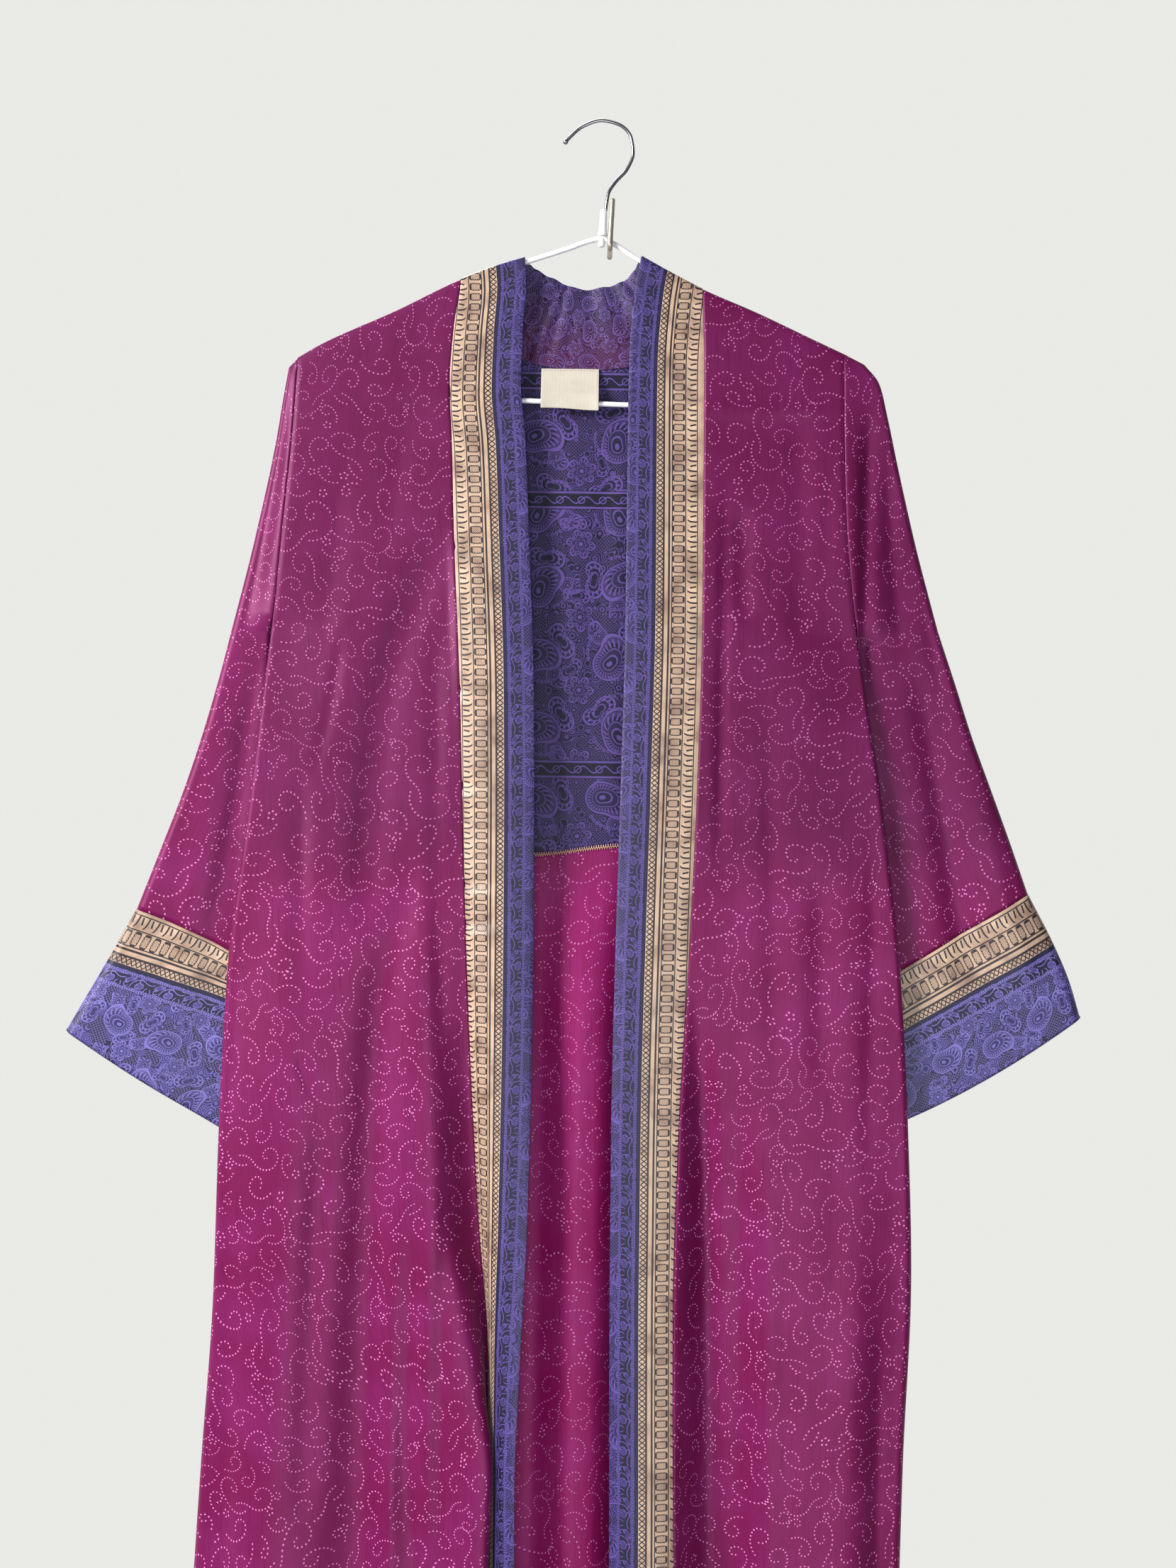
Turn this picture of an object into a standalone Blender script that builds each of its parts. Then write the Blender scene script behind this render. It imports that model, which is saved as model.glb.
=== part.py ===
"""Long open silk robe on a white wire hanger, hung from an L-shaped wall hook.

All sizes below are millimetres and are turned into metres when a mesh is made.
X runs to the right as one looks at the wall, Z runs up, and the depth of a point
is its distance in front of the wall, so its Y is minus its depth. The origin is
where the hook's shank meets the wall. Left and right are as one looks at the robe.
"""

import math

import bmesh
import bpy
import numpy as np

MM = 0.001
SEAM_GAP = 0.3
ARMHOLE_GAP = 0.7
WELD_DISTANCE = 0.00001
SHARP_EDGE = math.radians(40.0)
WIRE_SMOOTHNESS = 2

# Cloth walls
PANEL_WALL = 1.2
BAND_WALL = 1.6
LABEL_WALL = 1.0

# Hanger and wall hook
WIRE_RADIUS = 2.05
HOOK_RADIUS = 1.35
HOOK_BALL_RADIUS = 2.1
NECK_RADIUS = 3.0
NECK_MIDDLE = -5.0
NECK_LEAN = math.radians(1.9)
NECK_SIDES = 20
WALL_HOOK_RADIUS = 2.1
WALL_HOOK_TOP = 39.2
WALL_HOOK_BEND = 4.0
WALL_HOOK_LEAN = 1.6
HANGER_DEPTH = 22.0
APEX = (-6.8, 8.9)
APEX_HALF_WIDTH = 2.4
APEX_DROPS = (0.9, 0.0, 0.6)
NECK_TOP = 31.3
WIRE_BELOW_CREST = 3.8
ARM_ENDS = {"left": -208.0, "right": 193.0}
ARM_POINTS = 11
ARM_END_POINTS = 9
BAR_HEIGHTS = {"left": -116.0, "right": -126.8}

# Robe
HEM = -1208.0
WAIST_LEVEL = -480.0

# Cells of the grids: folds at the side, the flat stretches, and beside the band
FOLD_CELLS = 3
FAR_CELLS = 9
SHOULDER_CELLS = 5
NEAR_SEAM = (28.0, 21.0, 14.0, 7.0, 0.0)
ROLL_WIDTH = 36.0
SLEEVE_CELLS = 5
BAND_CELLS = 3

# Distances over which a panel eases from its edge into its free hang
SIDE_BLEND = 55.0
BACK_BLEND = 45.0
ARMHOLE_STEP = 1.6
LEVEL_TOLERANCE = 1.0

# Troughs start this far from a band, from a front's side and from the back's sides
TROUGH_FROM_BAND = 7.0
TROUGH_FROM_SIDE = 12.0
BACK_TROUGH_FROM_SIDE = 20.0
BACK_TROUGH_EASE = 30.0
TROUGH_SWELL = 0.22

# Below the shoulder tip the rows turn from the crest's slope to level
FRONT_LEVEL_DROP = 400.0
BACK_LEVEL_DROP = 390.0

# Middle of the neck, and the gap between its seam and the back
NECK_CENTRE = (-20.0, -25.0)
NECK_GAP = 0.45

# Sleeve head and tube: arch over the shoulder tip, inset near the underarm, and shares
# of a section's length
ARCH_RADIUS = 3.5
UNDERARM_BLEND = 50.0
UNDERARM_INSET = 1.3
FOLD_SHARE = 0.25
SETTLE_SHARE = 0.75
SMOOTH_SHARE = 0.15


def table(columns, *rows):
    """Named columns of numbers, each as an array."""
    return {name: np.array([row[i] for row in rows], float) for i, name in enumerate(columns)}


# The line over each arm of the hanger on which front and back meet
CREST = {
    "left": table(
        ("x", "z"),
        (-246.0, -89.5),
        (-226.0, -77.6),
        (-167.4, -50.4),
        (-118.4, -25.9),
        (-89.4, -14.2),
        (-69.9, -8.2),
        (-6.8, 12.7),
    ),
    "right": table(
        ("x", "z"),
        (-6.8, 12.7),
        (25.3, -5.3),
        (40.5, -13.5),
        (70.4, -29.3),
        (116.0, -48.5),
        (163.4, -70.3),
        (186.0, -80.6),
        (200.0, -87.5),
    ),
}

# Depth of the front and of the back at each drop below that line
HANG = table(
    ("drop", "front", "back"),
    (0.0, 22.8, 21.2),
    (1.2, 24.7, 19.3),
    (5.0, 25.5, 18.5),
    (50.0, 25.6, 16.8),
    (95.0, 25.8, 15.2),
    (200.0, 28.5, 13.4),
    (330.0, 33.0, 12.8),
    (460.0, 37.0, 12.5),
    (735.0, 43.0, 12.5),
    (1010.0, 49.0, 13.0),
    (1300.0, 53.0, 13.0),
)

# Side edges: the armhole seam above the underarm, a folded side seam below it
SIDES = {
    "left": table(
        ("z", "x"),
        (-89.5, -245.0),
        (-104.0, -246.0),
        (-153.0, -249.0),
        (-221.0, -255.0),
        (-288.0, -261.0),
        (-355.0, -268.5),
        (-423.0, -276.0),
        (-490.0, -284.0),
        (-557.0, -292.0),
        (-692.0, -298.0),
        (-826.0, -301.0),
        (-961.0, -309.0),
        (-1208.0, -322.0),
    ),
    "right": table(
        ("z", "x"),
        (-80.6, 186.0),
        (-148.0, 187.0),
        (-215.0, 189.5),
        (-282.0, 196.0),
        (-349.0, 206.0),
        (-416.0, 217.0),
        (-483.0, 226.0),
        (-550.0, 234.0),
        (-685.0, 243.0),
        (-819.0, 247.5),
        (-953.0, 243.0),
        (-1208.0, 239.0),
    ),
}
UNDERARMS = {"left": -302.0, "right": -306.0}

# The side seam's edges stand a little further apart just under the arm
UNDERARM_SPREAD = 0.4
UNDERARM_REACH = 60.0

# Depths at the armhole seam, by the share of its height
ARMHOLE = table(
    ("share", "front", "back"),
    (0.0, 22.8, 21.2),
    (0.006, 24.7, 19.3),
    (0.024, 25.5, 18.5),
    (0.2, 26.2, 17.4),
    (0.5, 27.6, 15.6),
    (0.75, 28.0, 15.6),
    (0.9, 26.6, 18.0),
    (1.0, 25.6, 22.4),
)

# The folded side seam under the arm: depth of its middle, and its radius
SIDE_FOLD = table(
    ("z", "middle", "radius"),
    (-302.0, 24.0, 1.6),
    (-345.0, 25.2, 2.5),
    (-400.0, 27.0, 3.8),
    (-700.0, 29.0, 5.0),
    (-900.0, 27.0, 6.5),
    (-1208.0, 27.0, 8.0),
)

# How far from the side the back stays forward, to leave room for a sleeve behind it
BACK_HOLD = table(
    ("z", "left", "right"),
    (-302.0, 5.0, 5.0),
    (-345.0, 12.0, 13.0),
    (-423.0, 20.0, 24.0),
    (-557.0, 42.0, 42.0),
    (-700.0, 60.0, 52.0),
    (-770.0, 50.0, 45.0),
    (-900.0, 12.0, 12.0),
    (-1208.0, 6.0, 6.0),
)

# Front bands: seam with the panel, line between gold and blue, and free edge
BANDS = {
    "left": table(
        ("z", "seam", "middle", "free"),
        (-8.0, -117.3, -92.0, -67.0),
        (-28.0, -117.3, -93.0, -65.5),
        (-62.0, -122.0, -96.0, -67.5),
        (-107.0, -124.8, -97.0, -68.5),
        (-152.0, -122.5, -95.0, -64.5),
        (-219.0, -120.0, -89.5, -61.0),
        (-353.0, -113.0, -87.0, -55.0),
        (-487.0, -108.0, -83.0, -53.0),
        (-622.0, -102.0, -78.0, -52.5),
        (-756.0, -94.0, -78.0, -54.0),
        (-890.0, -84.0, -76.0, -59.0),
        (-961.0, -86.0, -74.5, -61.0),
        (-1042.0, -88.0, -74.0, -60.0),
        (-1208.0, -90.0, -73.0, -58.0),
    ),
    "right": table(
        ("z", "seam", "middle", "free"),
        (-5.0, 73.5, 50.0, 25.0),
        (-31.0, 73.5, 48.5, 20.5),
        (-83.0, 75.5, 45.0, 16.5),
        (-149.0, 76.0, 43.0, 16.0),
        (-284.0, 76.5, 42.0, 16.0),
        (-418.0, 74.0, 39.0, 14.0),
        (-552.0, 69.0, 34.5, 11.5),
        (-687.0, 62.5, 31.0, 10.0),
        (-822.0, 59.5, 31.0, 10.5),
        (-956.0, 61.0, 33.0, 12.0),
        (-1208.0, 68.0, 39.0, 15.0),
    ),
}

# How far each of those three lines stands in front of the hang of the cloth
BAND_LIFTS = {
    "left": table(
        ("z", "seam", "middle", "free"),
        (-8.0, 0.0, 0.0, 0.0),
        (-120.0, 0.6, 1.2, 1.0),
        (-353.0, -1.0, 2.0, 1.0),
        (-555.0, -7.0, 3.0, 1.0),
        (-622.0, -12.0, 3.0, 3.0),
        (-756.0, -22.0, 2.0, 8.0),
        (-890.0, -25.0, 2.5, 10.0),
        (-1042.0, -25.0, 3.0, 13.0),
        (-1208.0, -25.0, 4.0, 12.0),
    ),
    "right": table(
        ("z", "seam", "middle", "free"),
        (-5.0, 0.0, 0.0, 0.0),
        (-120.0, 0.6, 1.2, 1.0),
        (-353.0, 1.0, 2.0, 0.0),
        (-622.0, 2.0, 4.0, -1.0),
        (-890.0, 4.0, 7.0, 0.0),
        (-1208.0, 5.0, 9.0, 1.0),
    ),
}

# The left front rolls over its band near the hem: share of the full roll
BAND_ROLL = table(
    ("z", "share"),
    (-780.0, 0.0),
    (-890.0, 0.5),
    (-961.0, 1.0),
    (-1208.0, 1.0),
)
ROLL_OUT = 23.0
ROLL_UP = 19.0

# Soft troughs: a path of three points, then width and depth at its top and its foot
FOLD_COLUMNS = ("x_top", "z_top", "x_mid", "z_mid", "x_low", "z_low",
                "width_top", "width_low", "depth_top", "depth_low")
FRONT_FOLDS = {
    "left": table(
        FOLD_COLUMNS,
        (-122.0, -215.0, -180.0, -374.0, -183.0, -510.0, 17.0, 15.0, 6.0, 5.0),
        (-140.0, -455.0, -172.0, -605.0, -190.0, -1300.0, 14.0, 34.0, 7.0, 12.0),
        (-143.0, -720.0, -146.0, -900.0, -104.0, -1300.0, 9.0, 15.0, 5.0, 9.0),
        (-262.0, -560.0, -262.0, -900.0, -270.0, -1300.0, 24.0, 30.0, -4.0, -8.0),
    ),
    "right": table(
        FOLD_COLUMNS,
        (76.0, -560.0, 85.0, -800.0, 92.0, -1300.0, 9.0, 25.0, 9.0, 27.0),
        (150.0, -110.0, 153.0, -230.0, 154.0, -330.0, 11.0, 11.0, 2.5, 2.5),
        (173.0, -480.0, 174.0, -570.0, 176.0, -670.0, 12.0, 12.0, 3.0, 3.0),
        (108.0, -200.0, 107.0, -250.0, 110.0, -300.0, 9.0, 9.0, 2.5, 2.5),
        (200.0, -760.0, 200.0, -950.0, 198.0, -1300.0, 16.0, 26.0, -3.0, -7.0),
    ),
}
BACK_FOLDS = table(
    FOLD_COLUMNS,
    (4.0, -440.0, 4.0, -800.0, 2.0, -1300.0, 9.0, 15.0, 4.0, 8.0),
    (-30.0, -440.0, -30.0, -800.0, -32.0, -1300.0, 15.0, 18.0, -5.0, -8.0),
    (-110.0, -500.0, -120.0, -850.0, -128.0, -1300.0, 22.0, 34.0, -4.0, -12.0),
    (-200.0, -620.0, -205.0, -900.0, -212.0, -1300.0, 18.0, 30.0, -3.0, -10.0),
    (86.0, -500.0, 96.0, -850.0, 104.0, -1300.0, 20.0, 34.0, -4.0, -12.0),
    (160.0, -640.0, 165.0, -900.0, 170.0, -1300.0, 18.0, 28.0, -3.0, -9.0),
)

# Waist seam across the back
WAIST = table(
    ("x", "z"),
    (-290.0, -487.0),
    (-150.0, -483.0),
    (-52.0, -478.5),
    (11.0, -470.9),
    (120.0, -466.0),
    (240.0, -463.0),
)

# Seam between the back and the neck band, and the band's free edge
NECK_SEAM = table(
    ("share", "x", "z"),
    (0.0, -117.3, -25.5),
    (0.01, -116.7, -26.8),
    (0.03, -115.4, -31.0),
    (0.12, -109.0, -48.0),
    (0.25, -90.0, -73.0),
    (0.38, -58.0, -90.0),
    (0.5, -20.0, -94.5),
    (0.62, 16.0, -91.5),
    (0.75, 47.0, -77.0),
    (0.88, 65.5, -53.0),
    (0.97, 71.6, -36.2),
    (0.99, 72.9, -32.1),
    (1.0, 73.5, -30.8),
)
NECK_FREE = table(
    ("share", "x", "depth", "z"),
    (0.0, -67.0, 21.0, -7.3),
    (0.01, -66.4, 19.1, -8.4),
    (0.03, -65.0, 18.2, -11.6),
    (0.12, -60.0, 16.0, -13.5),
    (0.25, -49.5, 13.0, -19.0),
    (0.38, -36.0, 11.0, -25.2),
    (0.5, -19.0, 10.5, -28.8),
    (0.62, -2.0, 10.8, -27.2),
    (0.75, 10.5, 12.5, -22.5),
    (0.88, 20.0, 16.0, -14.5),
    (0.97, 23.5, 18.2, -10.5),
    (0.99, 24.5, 19.1, -6.3),
    (1.0, 25.0, 21.0, -5.2),
)

# Rows of each panel: drops at the side below the shoulder tip, down to the underarm
ARMHOLE_SHARES = (0.0, 0.006, 0.024, 0.07, 0.17, 0.3, 0.45, 0.6, 0.75, 0.89, 1.0)
CREST_ROWS = 3
UPPER_ROWS = 3
LOWER_ROWS = 13

# Sleeve sections beside the armhole, one for each of its rows: the outer fold's place,
# the depth of the tube's middle, and half of its thickness
HEAD_COLUMNS = ("outer_x", "outer_z", "middle", "half")
SLEEVE_HEADS = {
    "left": table(
        HEAD_COLUMNS,
        (-252.0, -97.0, 22.0, 3.2),
        (-256.5, -122.0, 20.5, 3.3),
        (-261.2, -150.0, 18.3, 3.4),
        (-267.5, -182.0, 16.3, 3.7),
        (-274.5, -214.0, 15.0, 4.1),
        (-281.8, -246.0, 13.8, 4.5),
        (-288.5, -273.0, 13.0, 4.8),
    ),
    "right": table(
        HEAD_COLUMNS,
        (202.0, -88.8, 22.0, 3.5),
        (213.6, -103.0, 22.0, 3.5),
        (221.0, -130.0, 21.0, 3.6),
        (229.0, -164.0, 18.5, 4.0),
        (237.5, -199.0, 16.5, 4.4),
        (247.0, -236.0, 14.5, 4.8),
        (256.0, -268.0, 13.2, 5.0),
    ),
}

# Sleeve sections from the underarm to the cuff. Sag bends a section's middle.
SECTION_COLUMNS = ("outer_x", "outer_z", "inner_x", "inner_z", "sag", "middle", "half")
SLEEVE_TUBES = {
    "left": table(
        SECTION_COLUMNS,
        (-295.0, -299.0, -264.6, -305.0, 0.0, 12.6, 5.0),
        (-304.5, -339.0, -265.5, -350.0, 0.0, 12.0, 5.6),
        (-316.0, -384.0, -266.0, -404.0, 2.0, 12.0, 6.0),
        (-330.0, -431.0, -265.0, -462.0, 4.0, 12.0, 6.2),
        (-347.0, -479.0, -262.0, -522.0, 5.0, 11.8, 6.4),
        (-364.9, -526.3, -257.0, -583.0, 5.0, 11.6, 6.6),
    ),
    "right": table(
        SECTION_COLUMNS,
        (264.5, -298.0, 199.4, -309.0, 0.0, 12.6, 5.2),
        (277.5, -340.0, 201.0, -358.0, 0.0, 12.0, 5.6),
        (290.5, -381.0, 203.0, -412.0, 0.0, 12.0, 6.0),
        (305.5, -422.0, 204.5, -468.0, 0.0, 12.0, 6.2),
        (321.0, -464.0, 205.0, -527.0, 0.0, 11.8, 6.4),
        (335.5, -505.2, 204.5, -588.0, 0.0, 11.6, 6.6),
    ),
}
CUFFS = {
    "left": table(
        SECTION_COLUMNS,
        (-365.0, -526.6, -257.0, -583.4, 5.0, 11.6, 6.6),
        (-381.7, -566.9, -254.5, -629.0, 1.0, 11.5, 6.8),
        (-397.5, -593.5, -251.0, -674.0, -6.0, 11.5, 7.2),
        (-414.4, -619.9, -247.0, -720.0, -11.0, 11.5, 7.6),
    ),
    "right": table(
        SECTION_COLUMNS,
        (335.6, -505.5, 204.5, -588.4, 0.0, 11.6, 6.6),
        (353.4, -547.6, 203.5, -636.0, 0.0, 11.5, 6.8),
        (366.8, -576.0, 202.5, -669.5, 0.0, 11.5, 7.2),
        (379.2, -604.3, 201.0, -702.5, 0.0, 11.5, 7.6),
    ),
}
SLEEVE_FOLDS = {
    "left": table(
        FOLD_COLUMNS,
        (-300.0, -330.0, -310.0, -450.0, -322.0, -560.0, 14.0, 18.0, -1.5, -3.0),
    ),
    "right": table(
        FOLD_COLUMNS,
        (207.0, -110.0, 205.0, -222.0, 206.0, -372.0, 6.0, 6.0, 3.0, 3.5),
        (246.0, -310.0, 274.0, -465.0, 296.0, -590.0, 11.0, 12.0, 3.0, 6.0),
        (300.0, -400.0, 318.0, -490.0, 340.0, -600.0, 16.0, 18.0, -2.0, -4.0),
    ),
}

LABEL_CORNERS = (-53.0, -7.3)
LABEL_HANG = table(
    ("drop", "depth"),
    (0.0, 17.0),
    (8.0, 18.6),
    (16.0, 22.0),
    (22.0, 25.0),
    (28.0, 25.7),
    (33.0, 25.8),
)
LABEL_TOP = -93.6
LABEL_CELLS = 4

# Steel hook: its path from the ball end to the neck, and the ball's radii in shares
HOOK_PATH = table(
    ("share", "x", "z"),
    (0.00, -37.5, 83.0),
    (0.06, -32.5, 88.5),
    (0.17, -22.5, 97.0),
    (0.28, -8.1, 101.8),
    (0.39, 6.5, 98.6),
    (0.50, 15.6, 88.6),
    (0.60, 17.4, 76.5),
    (0.71, 13.0, 64.0),
    (0.83, 3.2, 52.5),
    (0.90, -1.6, 44.5),
    (1.00, -3.8, NECK_TOP + SEAM_GAP),
)
BALL_SHARE = 0.06
BALL_POINTS = 7
HOOK_POINTS = 25
BALL_PROFILE = (0.45, 0.9, 1.0, 0.92, 0.64)

# Colour and roughness of each finish
COLOURS = {
    "magenta": ((0.26, 0.026, 0.15), 0.42),
    "violet": ((0.13, 0.10, 0.42), 0.5),
    "gold": ((0.55, 0.42, 0.24), 0.45),
    "cream": ((0.81, 0.76, 0.63), 0.8),
    "white": ((0.85, 0.85, 0.86), 0.4),
    "steel": ((0.62, 0.62, 0.63), 0.25),
    "nickel": ((0.62, 0.58, 0.5), 0.35),
}


def follow(at, stations, values):
    """Smooth curve through the given values that never overshoots them."""
    order = np.argsort(stations)
    s, v = stations[order], values[order]
    step = np.diff(s)
    slope = np.diff(v) / step
    tangent = np.zeros_like(v)
    tangent[0], tangent[-1] = slope[0], slope[-1]
    same = slope[1:] * slope[:-1] > 0.0
    weight_a = 2.0 * step[1:] + step[:-1]
    weight_b = step[1:] + 2.0 * step[:-1]
    inner = tangent[1:-1]
    inner[same] = (weight_a + weight_b)[same] / (
        weight_a[same] / slope[:-1][same] + weight_b[same] / slope[1:][same])
    at = np.clip(np.asarray(at, float), s[0], s[-1])
    cell = np.clip(np.searchsorted(s, at, side="right") - 1, 0, len(step) - 1)
    t = (at - s[cell]) / step[cell]
    h = step[cell]
    return ((1.0 + 2.0 * t) * (1.0 - t) ** 2 * v[cell] + t * (1.0 - t) ** 2 * h * tangent[cell]
            + t * t * (3.0 - 2.0 * t) * v[cell + 1] - t * t * (1.0 - t) * h * tangent[cell + 1])


def ease(value):
    """Zero at 0, one at 1, level at both."""
    t = np.clip(value, 0.0, 1.0)
    return t * t * (3.0 - 2.0 * t)


def crest(x):
    """Height of the line over the arms."""
    left = follow(x, CREST["left"]["x"], CREST["left"]["z"])
    right = follow(x, CREST["right"]["x"], CREST["right"]["z"])
    return np.where(np.asarray(x) < APEX[0], left, right)


def hang(layer, x, z):
    """Depth at which the front or the back hangs below the crest."""
    return np.interp(crest(x) - z, HANG["drop"], HANG[layer])


def side_x(half, z):
    """The panels' side edge."""
    return follow(z, SIDES[half]["z"], SIDES[half]["x"])


def sign_of(half):
    """Plus one where inward means to the right."""
    return 1.0 if half == "left" else -1.0


def tip_z(half):
    """Height of the shoulder tip."""
    return SIDES[half]["z"][0]


def armhole_depth(half, layer, z):
    """Depth of the armhole seam on the front or the back."""
    share = (tip_z(half) - z) / (tip_z(half) - UNDERARMS[half])
    return np.interp(share, ARMHOLE["share"], ARMHOLE[layer])


def fold_relief(folds, x, z):
    """Sum of the troughs: each is a bell across its path that swells in from its top."""
    total = np.zeros(np.broadcast(x, z).shape)
    for row in range(len(folds["x_top"])):
        f = {name: values[row] for name, values in folds.items()}
        path_z = np.array([f["z_top"], f["z_mid"], f["z_low"]])
        path_x = np.array([f["x_top"], f["x_mid"], f["x_low"]])
        share = np.clip((f["z_top"] - z) / (f["z_top"] - f["z_low"]), 0.0, 1.0)
        width = f["width_top"] + (f["width_low"] - f["width_top"]) * share
        depth = f["depth_top"] + (f["depth_low"] - f["depth_top"]) * share
        reach = TROUGH_SWELL * (f["z_top"] - f["z_low"])
        swell = ease((f["z_top"] - z) / reach) * ease((z - f["z_low"]) / reach)
        total += depth * swell * np.exp(-((x - follow(z, path_z, path_x)) / width) ** 2)
    return total


def side_levels(half):
    """Heights of a panel's rows at its side: shoulder tip, underarm, waist, hem."""
    tip, underarm = tip_z(half), UNDERARMS[half]
    waist = float(waist_z(side_x(half, WAIST_LEVEL)))
    upper = tip + (underarm - tip) * np.array(ARMHOLE_SHARES)
    middle = np.linspace(underarm, waist, UPPER_ROWS + 1)[1:]
    lower = np.linspace(waist, HEM, LOWER_ROWS + 1)[1:]
    return np.concatenate([upper, middle, lower])


def waist_row():
    """Index of the row that lies on the waist seam."""
    return len(ARMHOLE_SHARES) - 1 + UPPER_ROWS


def band_levels(half, line):
    """Heights of a band's rows on one of its lines, level with the side below the waist."""
    side = side_levels(half)
    start = float(crest(BANDS[half][line][0]))
    waist = side[waist_row()]
    share = np.clip((side - side[0]) / (waist - side[0]), 0.0, 1.0)
    return side + (start - side[0]) * (1.0 - share) ** 2


def band_point(half, line, z):
    """A point of one of a front band's three lines."""
    x = follow(z, BANDS[half]["z"], BANDS[half][line])
    lift = follow(z, BAND_LIFTS[half]["z"], BAND_LIFTS[half][line])
    return np.stack([x, hang("front", x, z) + lift, z], axis=-1)


def side_arc(half, layer, z):
    """Columns next to the side: a quarter turn under the arm, short even steps above it."""
    edge = side_x(half, z)
    inward = sign_of(half)
    angle = np.linspace(0.0, math.pi / 2.0, FOLD_CELLS + 1)
    radius = float(follow(z, SIDE_FOLD["z"], SIDE_FOLD["radius"]))
    middle = float(follow(z, SIDE_FOLD["z"], SIDE_FOLD["middle"]))
    way = 1.0 if layer == "front" else -1.0
    if z > UNDERARMS[half] + LEVEL_TOLERANCE:
        x = edge + inward * ARMHOLE_STEP * np.arange(FOLD_CELLS + 1)
        return x, np.full(FOLD_CELLS + 1, float(armhole_depth(half, layer, z)))
    tilt = math.sin(0.5 * angle[1])
    x = edge + inward * radius * (1.0 - np.cos(angle))
    depth = middle + way * radius * np.sin(angle)
    spread = UNDERARM_SPREAD * math.exp((z - UNDERARMS[half]) / UNDERARM_REACH)
    depth[0] += way * (0.5 * SEAM_GAP + 0.5 * PANEL_WALL * tilt + spread)
    return x, depth


def front_grid(half):
    """Middle surface of a front: rows from the crest to the hem, columns side to band."""
    side = side_levels(half)
    seam = band_point(half, "seam", band_levels(half, "seam"))
    inward = sign_of(half)
    share = np.linspace(0.0, 1.0, FAR_CELLS + 1)[1:]
    columns = FOLD_CELLS + 1 + FAR_CELLS + len(NEAR_SEAM)
    grid = np.zeros((len(side), columns, 3))
    for row, z_side in enumerate(side):
        arc_x, arc_depth = side_arc(half, "front", z_side)
        seam_x, seam_depth, seam_z = seam[row]
        seam_x = seam_x - inward * SEAM_GAP
        near_x = seam_x - inward * np.array(NEAR_SEAM)
        far_x = arc_x[-1] + (seam_x - inward * ROLL_WIDTH - arc_x[-1]) * share
        x = np.concatenate([arc_x, far_x, near_x])
        across = (x - arc_x[0]) / (seam_x - arc_x[0])
        level = z_side + (seam_z - z_side) * across
        bend = crest(x) - (side[0] + (seam[0][2] - side[0]) * across)
        fade = np.clip(1.0 - (side[0] - z_side) / FRONT_LEVEL_DROP, 0.0, 1.0)
        z = level + bend * fade
        from_side = np.abs(x - arc_x[-1])
        from_seam = np.abs(seam_x - x)
        depth = hang("front", x, z)
        depth += (arc_depth[-1] - depth) * (1.0 - ease(from_side / SIDE_BLEND))
        depth += (seam_depth - depth) * (1.0 - ease(from_seam / ROLL_WIDTH))
        inside = ease(from_seam / TROUGH_FROM_BAND) * ease(from_side / TROUGH_FROM_SIDE)
        depth -= fold_relief(FRONT_FOLDS[half], x, z) * inside
        depth[:FOLD_CELLS + 1] = arc_depth
        if half == "left":
            roll = float(follow(z_side, BAND_ROLL["z"], BAND_ROLL["share"]))
            turn = np.sin(math.pi * np.clip(1.0 - from_seam / ROLL_WIDTH, 0.0, 1.0)) ** 2
            x = x + roll * ROLL_OUT * turn
            depth = depth + roll * ROLL_UP * turn
        band_lean = lean_of(seam[row], band_point(half, "middle", seam_z))
        own_lean = lean_of(grid_point(x, depth, -2), grid_point(x, depth, -1))
        x[-1] -= inward * 0.5 * (BAND_WALL * band_lean + PANEL_WALL * own_lean)
        grid[row] = np.stack([x, depth, z], axis=-1)
    return grid


def grid_point(x, depth, column):
    """One column's x and depth."""
    return x[column], depth[column]


def lean_of(start, end):
    """Sine of the angle between a cloth and the wall, between two points of a section."""
    run, rise = end[0] - start[0], end[1] - start[1]
    return abs(rise) / math.hypot(run, rise)


def neck_points(offset):
    """The neck seam on the back, moved away from the neck's middle by an offset."""
    x, z = NECK_SEAM["x"], NECK_SEAM["z"]
    away = np.stack([x - NECK_CENTRE[0], z - NECK_CENTRE[1]])
    away /= np.hypot(away[0], away[1])
    x = x + offset * away[0]
    z = z + offset * away[1]
    return np.stack([x, hang("back", x, z), z], axis=-1)


def back_columns(row):
    """One row across the back: left fold, left shoulder, neck, right shoulder, right fold."""
    neck = neck_points(NECK_GAP)
    z_left, z_right = side_levels("left")[row], side_levels("right")[row]
    left_x, left_depth = side_arc("left", "back", z_left)
    right_x, right_depth = side_arc("right", "back", z_right)
    cells = np.linspace(0.0, 1.0, SHOULDER_CELLS + 1)[1:-1]
    left_part = left_x[-1] + (neck[0][0] - left_x[-1]) * cells
    right_part = neck[-1][0] + (right_x[-1] - neck[-1][0]) * cells
    x = np.concatenate([left_x, left_part, neck[:, 0], right_part, right_x[::-1]])
    z_crest = crest(x)
    first = FOLD_CELLS + SHOULDER_CELLS
    z_crest[first:first + len(neck)] = neck[:, 2]
    level = z_left + (z_right - z_left) * (x - x[0]) / (x[-1] - x[0])
    fade = np.clip(1.0 - (tip_z("left") - z_left) / BACK_LEVEL_DROP, 0.0, 1.0) ** 2
    start = tip_z("left") + (tip_z("right") - tip_z("left")) * (x - x[0]) / (x[-1] - x[0])
    z = level + (z_crest - start) * fade
    return x, z, (left_x, left_depth), (right_x, right_depth)


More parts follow.
